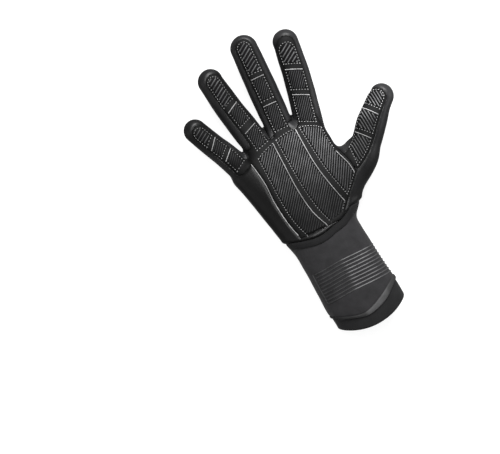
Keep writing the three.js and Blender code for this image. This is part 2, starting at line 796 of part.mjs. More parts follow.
addPiece('back_panel', backPanel, 'smoothSkin');
addPiece('middle_finger_back', middleBack, 'smoothSkin');
addPiece('ring_finger_back', ringBack, 'smoothSkin');
addPiece('knuckle_tape', knuckleTape(), 'tape');
addPiece('palm_panel', palmPanel, 'palmJersey');
addPiece('thumb_panel', thumbPanel, 'palmJersey');
addPiece('palm_grip_outer', grip('outerGripOuter', 'outerGripInner'), 'gripRubber');
addPiece('palm_grip_middle', grip('middleGripOuter', 'middleGripInner'), 'gripRubber');
addPiece('palm_grip_inner', grip('innerGripOuter', 'innerGripInner'), 'gripRubber');
for (const row of pads) {
    addPiece(`${row.finger}_${row.part}_pad`, pad(row), 'gripRubber');
}
addPiece('cuff', cuff, 'cuffJersey');
addPiece('wrist_band', wristBand(), 'cuffJersey');
for (let index = 0; index < ribCount; index += 1) {
    addPiece(`cuff_rib_${String(index + 1).padStart(2, '0')}`, cuffRib(index), 'cuffRubber');
}
addPiece('badge', badge(), 'tape');
addPiece('hem_tape', hemTape(), 'cuffRubber');
addPiece('cuff_end_band', endBand, 'cuffJersey');

// The origin is the middle of the resting side: the glove's box stands on it
const box = new THREE.Box3().setFromObject(glove);
const middle = box.getCenter(new THREE.Vector3());
for (const mesh of glove.children) {
    mesh.position.set(-middle.x, -middle.y, -box.min.z);
}

export default glove;
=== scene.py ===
"""A right-hand diving glove of 3 mm neoprene, lying palm up on a plain pale floor.

The glove is modelled in its own design frame, in millimetres: X to the thumb side, Y from the cuff's open
end to the fingertips, Z up. Each finished piece is placed in the frame of the CAD parts, in metres.
"""

import json
import logging
import math
from collections.abc import Callable
from dataclasses import dataclass, field
from enum import Enum
from functools import cached_property

import bmesh
import bpy
import numpy as np
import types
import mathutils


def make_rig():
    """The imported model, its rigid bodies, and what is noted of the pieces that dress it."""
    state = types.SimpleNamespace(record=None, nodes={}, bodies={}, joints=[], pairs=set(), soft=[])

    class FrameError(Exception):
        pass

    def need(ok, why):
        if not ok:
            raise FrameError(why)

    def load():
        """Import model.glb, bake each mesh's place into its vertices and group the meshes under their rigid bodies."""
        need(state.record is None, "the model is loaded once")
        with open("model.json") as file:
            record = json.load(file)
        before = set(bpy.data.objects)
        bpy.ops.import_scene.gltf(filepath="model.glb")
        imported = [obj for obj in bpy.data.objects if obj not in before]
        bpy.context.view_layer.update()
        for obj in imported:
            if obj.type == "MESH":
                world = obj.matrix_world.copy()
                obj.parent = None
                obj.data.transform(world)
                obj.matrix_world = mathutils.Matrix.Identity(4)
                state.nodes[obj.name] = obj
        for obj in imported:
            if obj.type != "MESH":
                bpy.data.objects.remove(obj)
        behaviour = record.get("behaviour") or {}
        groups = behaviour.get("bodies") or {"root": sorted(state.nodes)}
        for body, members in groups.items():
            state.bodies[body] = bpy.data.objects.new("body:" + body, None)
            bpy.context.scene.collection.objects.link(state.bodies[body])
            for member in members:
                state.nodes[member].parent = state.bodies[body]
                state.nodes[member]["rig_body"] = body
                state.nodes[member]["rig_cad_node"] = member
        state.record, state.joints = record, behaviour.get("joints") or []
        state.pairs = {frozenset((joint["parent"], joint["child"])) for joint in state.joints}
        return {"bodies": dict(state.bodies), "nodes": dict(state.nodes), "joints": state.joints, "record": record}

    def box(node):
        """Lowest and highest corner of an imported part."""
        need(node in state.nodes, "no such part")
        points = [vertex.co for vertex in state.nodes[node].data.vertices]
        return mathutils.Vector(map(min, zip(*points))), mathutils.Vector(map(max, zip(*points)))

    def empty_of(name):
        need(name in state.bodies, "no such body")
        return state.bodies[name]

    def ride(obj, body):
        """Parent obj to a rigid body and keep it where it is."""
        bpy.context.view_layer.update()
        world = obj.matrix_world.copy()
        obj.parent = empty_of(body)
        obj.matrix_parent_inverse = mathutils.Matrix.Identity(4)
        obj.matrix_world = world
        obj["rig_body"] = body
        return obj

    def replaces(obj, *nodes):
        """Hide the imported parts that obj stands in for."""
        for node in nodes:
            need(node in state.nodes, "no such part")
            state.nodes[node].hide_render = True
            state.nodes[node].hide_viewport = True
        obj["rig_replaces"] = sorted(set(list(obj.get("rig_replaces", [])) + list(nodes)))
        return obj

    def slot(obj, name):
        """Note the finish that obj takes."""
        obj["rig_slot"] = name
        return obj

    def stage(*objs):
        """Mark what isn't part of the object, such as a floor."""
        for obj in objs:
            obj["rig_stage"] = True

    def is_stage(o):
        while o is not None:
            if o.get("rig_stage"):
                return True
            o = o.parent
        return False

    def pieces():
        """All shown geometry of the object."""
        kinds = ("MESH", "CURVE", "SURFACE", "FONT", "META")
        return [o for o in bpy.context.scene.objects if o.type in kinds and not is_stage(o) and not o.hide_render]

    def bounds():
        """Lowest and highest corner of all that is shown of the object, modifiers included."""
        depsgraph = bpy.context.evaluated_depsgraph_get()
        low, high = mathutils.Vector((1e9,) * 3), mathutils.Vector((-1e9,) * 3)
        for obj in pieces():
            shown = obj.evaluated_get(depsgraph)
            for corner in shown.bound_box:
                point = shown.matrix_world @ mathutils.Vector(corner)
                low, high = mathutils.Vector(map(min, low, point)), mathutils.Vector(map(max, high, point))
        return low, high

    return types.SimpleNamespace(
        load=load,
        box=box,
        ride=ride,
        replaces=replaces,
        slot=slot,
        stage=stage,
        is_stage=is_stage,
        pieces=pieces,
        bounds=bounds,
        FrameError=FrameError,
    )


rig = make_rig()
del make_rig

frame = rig.load()
CAD_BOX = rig.bounds()

LOG = logging.getLogger("diving_glove")
METRES_PER_MM = 0.001
SIZE_FILE = "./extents.json"

Array = np.ndarray
Pairs = tuple[tuple[float, float], ...]
Paths = list[tuple[Array, Array]]
PlanTest = Callable[[Array], Array]


# ---------------------------------------------------------------- sizes and tables


@dataclass(frozen=True)
class GloveSizes:
    """The glove's driving sizes, in millimetres."""

    length: float = 300.0
    hand_width: float = 105.0
    hand_thickness: float = 40.0
    cuff_width: float = 72.0
    cuff_height: float = 54.0
    wall: float = 3.0
    hem_height: float = 14.0
    end_rise: float = 10.0
    cuff_stand: float = 1.2
    end_band_step: float = 0.8
    parting_share: float = 0.61
    finger_flatness: float = 0.96
    body_squareness: float = 2.4
    badge_across: float = -0.236
    badge_along: float = 0.172

    @property
    def parting(self) -> float:
        """Height between the palm wall and the back wall."""
        return self.parting_share * self.hand_thickness

    @property
    def badge_centre(self) -> tuple[float, float]:
        """The badge's middle on the back of the cuff, in plan."""
        return (self.badge_across * self.cuff_width, self.badge_along * self.length)


SIZES = GloveSizes()
CUFF = (SIZES.cuff_width, SIZES.cuff_height)
HAND = (SIZES.hand_width, SIZES.hand_thickness)

# Cross-sections of cuff and hand: the sizes that the shares are of, then along (share of length),
# left and right (shares of width), low and high (shares of height), and the height it is flattened to
BODY_ROWS = (
    (CUFF, -0.03, -0.5, 0.5, -0.015, 1.02, SIZES.cuff_stand),
    (CUFF, 0.04, -0.507, 0.493, -0.015, 1.02, SIZES.cuff_stand),
    (CUFF, 0.095, -0.539, 0.472, -0.015, 1.02, SIZES.cuff_stand),
    (CUFF, 0.165, -0.553, 0.421, -0.01, 1.0, SIZES.cuff_stand),
    (CUFF, 0.24, -0.572, 0.383, 0.0, 0.963, SIZES.cuff_stand),
    (CUFF, 0.295, -0.597, 0.356, 0.02, 0.907, 0.0),
    (CUFF, 0.325, -0.632, 0.35, 0.02, 0.87, 0.0),
    (HAND, 0.365, -0.476, 0.295, -0.025, 1.12, 0.0),
    (HAND, 0.415, -0.51, 0.352, -0.04, 1.07, 0.0),
    (HAND, 0.475, -0.552, 0.371, -0.05, 1.03, 0.0),
    (HAND, 0.535, -0.595, 0.357, -0.05, 0.98, 0.0),
    (HAND, 0.595, -0.648, 0.338, -0.03, 0.9, 0.0),
    (HAND, 0.635, -0.667, 0.338, 0.02, 0.82, 0.0),
    (HAND, 0.675, -0.667, 0.338, 0.1, 0.74, 0.0),
    (HAND, 0.72, -0.667, 0.338, 0.14, 0.68, 0.0),
)

# The webs between the fingers, where the hand ends: across (mm) and along (mm)
WEB_LINE = (
    (-82.0, 170.0), (-70.0, 180.0), (-56.0, 187.0), (-43.0, 192.0), (-30.0, 199.0), (-18.5, 205.0),
    (-4.0, 206.5), (9.5, 203.5), (20.0, 197.0), (34.0, 186.0), (48.0, 170.0),
)


@dataclass(frozen=True)
class Finger:
    """One finger: its width where it is roundest and the rows of its centreline.

    A row holds across (share of hand width), along (share of length), height (share of hand thickness)
    and girth (share of the finger's own width).
    """

    name: str
    width: float
    rows: tuple[tuple[float, float, float, float], ...]
    blend: float = 4.0


FINGERS = (
    Finger(
        "index",
        26.0,
        ((0.162, 0.55, 0.46, 1.0), (0.229, 0.683, 0.44, 1.05), (0.295, 0.81, 0.5, 1.0), (0.328, 0.9217, 0.64, 0.94)),
    ),
    Finger(
        "middle",
        27.5,
        ((-0.038, 0.55, 0.46, 1.0), (-0.041, 0.69, 0.44, 1.0), (-0.038, 0.817, 0.5, 1.02), (-0.038, 0.957, 0.66, 0.95)),
    ),
    Finger(
        "ring",
        26.5,
        ((-0.257, 0.55, 0.46, 1.0), (-0.319, 0.7, 0.44, 1.03), (-0.39, 0.81, 0.5, 0.98), (-0.437, 0.907, 0.64, 0.92)),
    ),
    Finger(
        "little",
        23.5,
        (
            (-0.448, 0.55, 0.46, 1.0),
            (-0.576, 0.663, 0.44, 1.02),
            (-0.662, 0.723, 0.48, 0.97),
            (-0.752, 0.788, 0.58, 0.94),
        ),
    ),
    Finger(
        "thumb",
        29.5,
        (
            (0.114, 0.393, 0.5, 1.2),
            (0.19, 0.42, 0.56, 1.38),
            (0.314, 0.46, 0.6, 1.42),
            (0.481, 0.493, 0.65, 1.27),
            (0.595, 0.525, 0.69, 1.0),
            (0.71, 0.572, 0.71, 0.98),
            (0.819, 0.613, 0.71, 0.875),
            (0.9, 0.638, 0.71, 0.815),
        ),
        9.0,
    ),
)
FINGER_BY_NAME = {finger.name: finger for finger in FINGERS}

# Levels at which the palm's long seams are given, as shares of length, and the seams as shares of width
SEAM_LEVELS = (0.66, 0.55, 0.475, 0.4, 0.34)
PALM_SEAMS = {
    "outer_edge": (-0.45, -0.389, -0.381, -0.352, -0.305),
    "outer_grip_outer": (-0.351, -0.335, -0.326, -0.3, -0.243),
    "outer_grip_inner": (-0.168, -0.157, -0.145, -0.11, -0.04),
    "middle_grip_outer": (-0.13, -0.11, -0.092, -0.052, 0.008),
    "middle_grip_inner": (0.071, 0.088, 0.124, 0.181, 0.24),
    "inner_grip_outer": (0.11, 0.143, 0.181, 0.243, 0.31),
    "inner_grip_inner": (0.285, 0.315, 0.372, 0.374, 0.374),
    "thumb_seam": (0.3, 0.345, 0.393, 0.393, 0.393),
}

# Cross seams: across (share of hand width) and along (share of length)
GRIP_TOP = (
    (-0.45, 0.614), (-0.35, 0.62), (-0.27, 0.634), (-0.13, 0.651), (0.0, 0.659), (0.12, 0.657),
    (0.21, 0.647), (0.3, 0.627), (0.42, 0.59),
)
GRIP_BOTTOM = (
    (-0.36, 0.358), (-0.24, 0.336), (-0.14, 0.333), (-0.04, 0.341), (0.04, 0.349), (0.12, 0.357),
    (0.17, 0.378), (0.24, 0.403), (0.38, 0.457), (0.5, 0.5),
)
PALM_PANEL_BOTTOM = (
    (-0.6, 0.3), (-0.1, 0.3), (0.09, 0.325), (0.18, 0.37), (0.25, 0.396), (0.4, 0.455), (0.5, 0.49),
)
WRIST_SEAM_PALM = (
    (-0.9, 0.36), (-0.457, 0.342), (-0.38, 0.336), (-0.286, 0.328), (-0.19, 0.322), (-0.095, 0.324),
    (0.0, 0.333), (0.1, 0.341), (0.19, 0.356), (0.286, 0.367), (0.9, 0.37),
)
WRIST_SEAM_BACK = (
    (-0.9, 0.36), (-0.457, 0.342), (-0.39, 0.317), (-0.286, 0.286), (-0.19, 0.275), (-0.095, 0.275),
    (0.0, 0.286), (0.095, 0.315), (0.19, 0.35), (0.286, 0.367), (0.9, 0.37),
)
KNUCKLE_SEAM = (
    (-0.5, 0.637), (-0.38, 0.643), (-0.286, 0.651), (-0.176, 0.664), (-0.076, 0.677),
    (0.019, 0.686), (0.13, 0.694),
)

# Lines that run up between neighbouring fingers
BETWEEN_LITTLE_AND_RING = ((-0.395, 0.6), (-0.41, 0.65), (-0.524, 0.74), (-0.59, 0.817), (-0.65, 1.1))
BETWEEN_RING_AND_MIDDLE = ((-0.18, 0.6), (-0.176, 0.7), (-0.219, 0.817), (-0.25, 1.1))
BETWEEN_MIDDLE_AND_INDEX = ((0.085, 0.6), (0.092, 0.69), (0.119, 0.75), (0.136, 0.817), (0.15, 1.1))

# Hem line of the cuff: across (share of cuff width) and rise (share of hem height)
HEM_PALM = (
    (-0.8, 1.75), (-0.56, 1.62), (-0.39, 1.28), (-0.15, 0.96), (0.0, 1.03), (0.2, 1.45),
    (0.36, 1.98), (0.5, 2.35), (0.8, 2.6),
)
HEM_BACK = (
    (-0.8, 1.75), (-0.56, 1.62), (-0.4, 1.12), (-0.25, 0.82), (-0.05, 0.7), (0.15, 0.83),
    (0.33, 1.42), (0.5, 2.35), (0.8, 2.6),
)
# The curve of the open end: its middle and half its reach, as shares of cuff width
END_CURVE_MIDDLE = -0.055
END_CURVE_HALF = 0.5

# A new point on a cut edge stays between these shares of the edge
CUT_LIMITS = (0.03, 0.97)

# Points along a finger strip and round its half-round end
STRIP_POINTS = 14
STRIP_END_POINTS = 13


# ---------------------------------------------------------------- plan curves


def spline(points: Array, steps: int = 12) -> Array:
    """A smooth curve through points, by uniform Catmull-Rom.

    Args:
        points: Places that the curve passes, one row each.
        steps: Pieces between two neighbouring places.

    Returns:
        Points along the curve, one row each.
    """
    rows = np.asarray(points, float)
    padded = np.vstack([rows[0], rows, rows[-1]])
    out = []
    for i in range(len(rows) - 1):
        before, here, there, after = padded[i : i + 4]
        leave, reach = (there - before) / 2, (after - here) / 2
        for t in np.arange(steps) / steps:
            cube = 2 * here - 2 * there + leave + reach
            square = -3 * here + 3 * there - 2 * leave - reach
            out.append(((cube * t + square) * t + leave) * t + here)
    out.append(rows[-1])
    return np.array(out)


def plan_curve(rows: Pairs) -> Array:
    """A smooth plan curve through rows of shares of hand width and length."""
    return spline(np.array(rows) * (SIZES.hand_width, SIZES.length))


def seam_curve(name: str) -> Array:
    """A long palm seam as a smooth curve, fingers first."""
    return plan_curve(tuple(zip(PALM_SEAMS[name], SEAM_LEVELS)))


def height_of(curve: Array, across: Array) -> Array:
    """Place along the glove of a curve that runs across it, at each across."""
    order = np.argsort(curve[:, 0])
    return np.interp(across, curve[order, 0], curve[order, 1])


def inside_distance(points: Array, outline: Array) -> Array:
    """Distance from plan points to a closed outline, positive inside it.

    Args:
        points: Plan points, one row each.
        outline: Corners of the outline in order, not repeated at the end.

    Returns:
        One signed distance for each point.
    """
    px, py = points[:, 0], points[:, 1]
    nearest = np.full(len(points), np.inf)
    within = np.zeros(len(points), bool)
    for (ax, ay), (bx, by) in zip(outline, np.roll(outline, -1, axis=0)):
        ex, ey = bx - ax, by - ay
        length = ex * ex + ey * ey
        if length == 0:
            continue
        t = np.clip(((px - ax) * ex + (py - ay) * ey) / length, 0, 1)
        nearest = np.minimum(nearest, (px - ax - t * ex) ** 2 + (py - ay - t * ey) ** 2)
        crosses = (ay > py) != (by > py)
        if ey != 0:
            within ^= crosses & (px < ax + (py - ay) * ex / ey)
    return np.where(within, 1, -1) * np.sqrt(nearest)


def smooth_least(a: Array, b: Array, width: float) -> Array:
    """The lesser of two distances, rounded where they meet over width."""
    share = np.clip(0.5 + 0.5 * (b - a) / width, 0, 1)
    return b + (a - b) * share - width * share * (1 - share)


def smooth_most(a: Array, b: Array, width: float) -> Array:
    """The greater of two distances, rounded where they meet over width."""
    return -smooth_least(-a, -b, width)


def ease(value: Array) -> Array:
    """A share from 0 to 1 that starts and ends softly."""
    share = np.clip(value, 0, 1)
    return share * share * (3 - 2 * share)


def bell(value: Array, middle: float, width: float) -> Array:
    """A share that is 1 at the middle and falls off softly over width."""
    return np.exp(-(((value - middle) / width) ** 2))


@dataclass(frozen=True)
class Fade:
    """A soft change from 0 to an amount over a stretch that begins at start."""

    start: float
    stretch: float
    amount: float = 1.0

    def at(self, places: Array) -> Array:
        """The change at each place."""
        return self.amount * ease((places - self.start) / self.stretch)


def palm_share(height: Array, stretch: float) -> Array:
    """How much a height belongs to the palm side, 0 to 1 over a stretch about the parting."""
    return ease((height - SIZES.parting) / stretch + 0.5)


# ---------------------------------------------------------------- the glove's form


@dataclass
class Skin:
    """The glove's outer skin as one closed mesh of triangles, in the design frame."""

    points: Array
    triangles: Array
    normals: Array


@dataclass
class GloveForm:
    """The outer form of the worn glove as a distance from any point to its skin."""

    cell: float = 1.2
    coarse: int = 4
    sample_parts: int = 8
    near_cells: float = 1.6
    box_low: tuple[float, float, float] = (-102.0, -12.0, -3.0)
    box_high: tuple[float, float, float] = (112.0, 306.0, 60.0)
    web_blend: float = 9.0
    web_slope: float = 0.95
    floor_blend: float = 3.0
    least_share: float = 1e-3
    table_step: float = 0.5
    centre_steps: int = 7
    finger_reach: float = 6.0
    wide_wobble: float = 0.28
    fine_wobble: float = 0.12
    still_height: float = 1.5
    still_range: float = 4.0
    drop_heights: tuple[float, float] = (62.0, -3.0)
    drop_share: float = 0.75
    drop_rounds: int = 30
    ring_start: float = 20.0
    ring_rounds: int = 5

    def __post_init__(self) -> None:
        """Works out the smooth tables that the distance reads."""
        rows = []
        for (wide, tall), along, left, right, low, high, floor in BODY_ROWS:
            rows.append((along * SIZES.length, left * wide, right * wide, low * tall, high * tall, floor))
        table = np.array(rows)
        self.levels = np.arange(table[0, 0], table[-1, 0], self.table_step)
        slopes = np.gradient(table[:, 1:], table[:, 0], axis=0)
        spot = np.clip(np.searchsorted(table[:, 0], self.levels, side="right") - 1, 0, len(table) - 2)
        gap = table[spot + 1, 0] - table[spot, 0]
        t = ((self.levels - table[spot, 0]) / gap)[:, None]
        gap = gap[:, None]
        here, there = table[spot, 1:], table[spot + 1, 1:]
        self.sections = (
            (1 + 2 * t) * (1 - t) ** 2 * here
            + t * (1 - t) ** 2 * gap * slopes[spot]
            + t * t * (3 - 2 * t) * there
            + t * t * (t - 1) * gap * slopes[spot + 1]
        )
        self.sections[:, 4] = np.interp(self.levels, table[:, 0], table[:, 5])
        self.web = spline(np.array(WEB_LINE), 8)
        self.lines = {finger.name: self.centreline(finger) for finger in FINGERS}

    def centreline(self, finger: Finger) -> Array:
        """Points along a finger's centre, each with its radius in a fourth column."""
        scale = (SIZES.hand_width, SIZES.length, SIZES.hand_thickness, finger.width / 2)
        return spline(np.array(finger.rows) * scale, self.centre_steps)

    def section(self, along: Array) -> tuple[Array, ...]:
        """Left, right, low, high and floor of the body at each place along the glove."""
        return tuple(np.interp(along, self.levels, self.sections[:, k]) for k in range(5))

    def body(self, points: Array) -> Array:
        """Distance from points to the cuff and hand without the fingers.

        Args:
            points: Any points.

        Returns:
            One distance for each point, negative inside.
        """
        x, y, z = points.T
        left, right, low, high, floor = self.section(y)
        half_wide, half_tall = (right - left) / 2, (high - low) / 2
        power = SIZES.body_squareness
        a = np.abs(x - (left + right) / 2) / half_wide
        b = np.abs(z - (low + high) / 2) / half_tall
        q = np.maximum((a**power + b**power) ** (1 / power), self.least_share)
        slope = np.hypot((a / q) ** (power - 1) / half_wide, (b / q) ** (power - 1) / half_tall)
        around = (q - 1) / slope
        web = np.interp(x, self.web[:, 0], self.web[:, 1])
        ended = smooth_most(around, (y - web) * self.web_slope, self.web_blend)
        return smooth_most(ended, floor - z, self.floor_blend)

    def finger(self, name: str, points: Array) -> Array:
        """Distance from points to one finger.

        Args:
            name: The finger.
            points: Any points.

        Returns:
            One distance for each point, negative inside.
        """
        line = self.lines[name]
        flat = np.array((1, 1, 1 / SIZES.finger_flatness))
        spots = points * flat
        best = np.full(len(points), np.inf)
        for start, end in zip(line[:-1], line[1:]):
            a, b = start[:3] * flat, end[:3] * flat
            run = b - a
            t = np.clip((spots - a) @ run / (run @ run), 0, 1)
            away = spots - a - t[:, None] * run
            best = np.minimum(best, np.sqrt((away**2).sum(1)) - start[3] - t * (end[3] - start[3]))
        return best

    def wobble(self, points: Array) -> Array:
        """A slight unevenness of the soft wall, from waves whose lengths don't fit each other.

        Args:
            points: Any points.

        Returns:
            For each point, how far the skin there is moved outwards.
        """
        x, y, z = points.T
        wide = np.sin(x / 11 + 0.6) * np.sin(y / 17 + 1.1) * np.cos(z / 12)
        fine = np.sin(x / 5.1 + y / 8.3 + 0.4) * np.sin(y / 6.7 - z / 7.1)
        return self.wide_wobble * wide + self.fine_wobble * fine

    def distance(self, points: Array) -> Array:
        """Distance from points to the whole glove's skin.

        Args:
            points: Any points.

        Returns:
            One distance for each point, negative inside.
        """
        total = self.body(points)
        for finger in FINGERS:
            line = self.lines[finger.name]
            reach = line[:, 3].max() + finger.blend + self.finger_reach
            low, high = line[:, :3].min(0) - reach, line[:, :3].max(0) + reach
            near = ((points > low) & (points < high)).all(1)
            if near.any():
                total[near] = smooth_least(total[near], self.finger(finger.name, points[near]), finger.blend)
        lifted = np.clip((points[:, 2] - self.still_height) / self.still_range, 0, 1)
        return total - self.wobble(points) * lifted

    def normals(self, points: Array, reach: float = 0.35) -> Array:
        """Unit directions straight out of the skin.

        Args:
            points: Points near the skin.
            reach: How far from each point the distance is tried.

        Returns:
            One direction for each point.
        """
        corners = np.array(((1, -1, -1), (-1, -1, 1), (-1, 1, -1), (1, 1, 1)), float)
        slope = sum(corner * self.distance(points + corner * reach)[:, None] for corner in corners)
        return slope / np.linalg.norm(slope, axis=1, keepdims=True)

    def project(self, points: Array, rounds: int = 3) -> tuple[Array, Array]:
        """Moves points straight onto the skin.

        Args:
            points: Points near the skin.
            rounds: Steps taken.

        Returns:
            The points on the skin and the unit directions out of it.
        """
        spots = points.copy()
        for _ in range(rounds):
            out = self.normals(spots)
            spots -= out * self.distance(spots)[:, None]
        return spots, self.normals(spots)

    def drop(self, plan: Array, from_above: bool = True) -> tuple[Array, Array]:
        """Places plan points on the palm from above, or on the back from below.

        Args:
            plan: Plan points, one row each.
            from_above: True for the palm side, False for the back.

        Returns:
            The points on the skin and the unit directions out of it.
        """
        above, below = self.drop_heights
        way, start, limit = (-1.0, above, np.maximum) if from_above else (1.0, below, np.minimum)
        spots = np.column_stack([plan, np.full(len(plan), start)])
        for _ in range(self.drop_rounds):
            spots[:, 2] += way * self.drop_share * self.distance(spots)
            spots[:, 2] = limit(spots[:, 2], SIZES.parting)
        return self.project(spots)

    def ring(self, angles: Array, level: "LevelLine") -> tuple[Array, Array]:
        """Points of a line that runs round the cuff or hand.

        Args:
            angles: Turns round the section, from the thumb side by way of the palm, in radians.
            level: The line's place along the glove.

        Returns:
            The points on the skin and the unit directions out of it.
        """
        power = 2 / SIZES.body_squareness
        cos, sin = np.cos(angles), np.sin(angles)
        along = np.full(len(angles), self.ring_start)
        for _ in range(self.ring_rounds):
            left, right, low, high, floor = self.section(along)
            across = (left + right) / 2 + (right - left) / 2 * np.sign(cos) * np.abs(cos) ** power
            tall = (low + high) / 2 + (high - low) / 2 * np.sign(sin) * np.abs(sin) ** power
            tall = np.maximum(tall, floor)
            along = level.at(across, tall)
        return self.project(np.column_stack([across, along, tall]))

    def sample(self, low: Array, step: float, counts: Array, rough: Array | None) -> Array:
        """Distances on a grid, worked out only near the skin where rough ones are known.

        Args:
            low: The grid's lowest corner.
            step: The grid's step.
            counts: Its points along each axis.
            rough: Rough distances at the same points, or nothing.

        Returns:
            The distances.
        """
        if rough is None:
            near, values = np.ones(tuple(counts), bool), np.zeros(tuple(counts))
        else:
            near, values = np.abs(rough) < self.near_cells * self.cell * self.coarse, rough.copy()
        spots = low + step * np.argwhere(near)
        values[near] = np.concatenate([self.distance(part) for part in np.array_split(spots, self.sample_parts)])
        return values

    def skin(self) -> Skin:
        """The whole outer skin as a mesh.

        Returns:
            A closed mesh of small even triangles.
        """
        low, high = np.array(self.box_low), np.array(self.box_high)
        counts = np.ceil((high - low) / self.cell).astype(int) + 1
        counts += (1 - counts) % self.coarse
        rough = self.sample(low, self.cell * self.coarse, (counts - 1) // self.coarse + 1, None)
        spread = [np.rint(np.arange(count) / self.coarse).astype(int) for count in counts]
        values = self.sample(low, self.cell, counts, rough[np.ix_(*spread)])
        points, triangles = surface_net(values, low, self.cell)
        spots, out = self.project(points, 3)
        return Skin(spots, triangles, out)


@dataclass
class LevelLine:
    """A line round the glove, given apart on the palm side and on the back."""

    palm: Array
    back: Array
    shift: float = 0.0

    def at(self, across: Array, height: Array) -> Array:
        """The line's place along the glove.

        Args:
            across: Places across the glove.
            height: The height of each.

        Returns:
            One place along for each.
        """
        share = palm_share(height, 10)
        palm, back = height_of(self.palm, across), height_of(self.back, across)
        return back + (palm - back) * share + self.shift

    def moved(self, shift: float) -> "LevelLine":
        """The same line moved along the glove."""
        return LevelLine(self.palm, self.back, self.shift + shift)


def surface_net(values: Array, low: Array, cell: float) -> tuple[Array, Array]:
    """Turns a grid of distances into a closed mesh.

    Args:
        values: Distances at the grid's points, negative inside.
        low: The grid's lowest corner.
        cell: The grid's step.

    Returns:
        The mesh's points and its triangles.
    """
    inside = values < 0
    corners = [(i, j, k) for i in (0, 1) for j in (0, 1) for k in (0, 1)]
    nx, ny, nz = (count - 1 for count in values.shape)

    def part(array: Array, corner: tuple[int, int, int]) -> Array:
        """The values at one corner of every cell."""
        i, j, k = corner
        return array[i : i + nx, j : j + ny, k : k + nz]

    count = sum(part(inside, corner).astype(np.int8) for corner in corners)
    mixed = (count > 0) & (count < 8)
    cells = np.argwhere(mixed)
    number = np.full(mixed.shape, -1, np.int64)
    number[mixed] = np.arange(len(cells))
    total = np.zeros((len(cells), 3))
    hits = np.zeros(len(cells))
    for corner in corners:
        for axis in range(3):
            if corner[axis]:
                continue
            other = list(corner)
            other[axis] = 1
            here = part(values, corner)[mixed]
            there = part(values, tuple(other))[mixed]
            cross = (here < 0) != (there < 0)
            t = np.where(cross, here / np.where(cross, here - there, 1), 0)
            spot = np.tile(np.array(corner, float), (len(cells), 1))
            spot[:, axis] = t
            total += spot * cross[:, None]
            hits += cross
    points = low + cell * (cells + total / hits[:, None])
    quads = []
    for axis in range(3):
        first, second = (axis + 1) % 3, (axis + 2) % 3
        here = [slice(None)] * 3
        there = [slice(None)] * 3
        here[axis], there[axis] = slice(0, -1), slice(1, None)
        a, b = inside[tuple(here)], inside[tuple(there)]
        spots = np.argwhere(a != b)
        keep = (spots[:, first] > 0) & (spots[:, second] > 0)
        keep &= (spots[:, first] < values.shape[first] - 1) & (spots[:, second] < values.shape[second] - 1)
        spots = spots[keep]
        outward = a[tuple(spots.T)]
        around = []
        for back_first, back_second in ((1, 1), (0, 1), (0, 0), (1, 0)):
            step = spots.copy()
            step[:, first] -= back_first
            step[:, second] -= back_second
            around.append(number[tuple(step.T)])
        quad = np.column_stack(around)
        quad[~outward] = quad[~outward][:, ::-1]
        quads.append(quad)
    quad = np.vstack(quads)
    one = ((points[quad[:, 0]] - points[quad[:, 2]]) ** 2).sum(1)
    two = ((points[quad[:, 1]] - points[quad[:, 3]]) ** 2).sum(1)
    short = (one <= two)[:, None]
    first_half = np.where(short, quad[:, [0, 1, 2]], quad[:, [0, 1, 3]])
    second_half = np.where(short, quad[:, [0, 2, 3]], quad[:, [1, 2, 3]])
    return points, np.vstack([first_half, second_half])


def clip(skin: Skin, inside: Array) -> tuple[Skin, Array]:
    """Cuts a skin along the line where a value at its points is zero.

    Args:
        skin: The mesh to cut.
        inside: One value for each point, positive on the part that stays.

    Returns:
        The part that stays and the value at each of its points.
    """
    tri = skin.triangles
    sign = inside[tri] > 0
    full = tri[sign.all(1)]
    some = tri[sign.any(1) & ~sign.all(1)]
    some_sign = inside[some] > 0
    single = some_sign.sum(1) == 1
    # Turn each cut triangle so that its odd corner comes first
    odd = np.where(single, some_sign.argmax(1), (~some_sign).argmax(1))
    rows = np.arange(len(some))
    a, b, c = some[rows, odd], some[rows, (odd + 1) % 3], some[rows, (odd + 2) % 3]
    pairs = np.vstack([np.column_stack([a, b]), np.column_stack([a, c])])
    keys, which = np.unique(np.sort(pairs, axis=1), axis=0, return_inverse=True)
    which = which.ravel()
    low, high = keys.T
    t = np.clip(inside[low] / (inside[low] - inside[high]), *CUT_LIMITS)[:, None]
    new_points = skin.points[low] * (1 - t) + skin.points[high] * t
    new_normals = skin.normals[low] * (1 - t) + skin.normals[high] * t
    new_normals /= np.linalg.norm(new_normals, axis=1, keepdims=True)
    base = len(skin.points)
    ab, ac = base + which[: len(some)], base + which[len(some) :]
    ones = np.column_stack([a, ab, ac])[single]
    pair_one = np.column_stack([ab, b, c])[~single]
    pair_two = np.column_stack([ab, c, ac])[~single]
    triangles = np.vstack([full, ones, pair_one, pair_two])
    points = np.vstack([skin.points, new_points])
    normals = np.vstack([skin.normals, new_normals])
    values = np.concatenate([inside, np.zeros(len(new_points))])
    used, triangles = np.unique(triangles, return_inverse=True)
    triangles = triangles.reshape(-1, 3)
    return Skin(points[used], triangles, normals[used]), values[used]


def open_edges(triangles: Array) -> Array:
    """Finds the open edges of a mesh.

    Args:
        triangles: The mesh's triangles.

    Returns:
        The edges that only one triangle has, in that triangle's direction.
    """
    edges = np.vstack([triangles[:, [0, 1]], triangles[:, [1, 2]], triangles[:, [2, 0]]])
    size = int(triangles.max()) + 1
    forward = edges[:, 0] * size + edges[:, 1]
    backward = edges[:, 1] * size + edges[:, 0]
    return edges[~np.isin(forward, backward)]


# ---------------------------------------------------------------- node trees


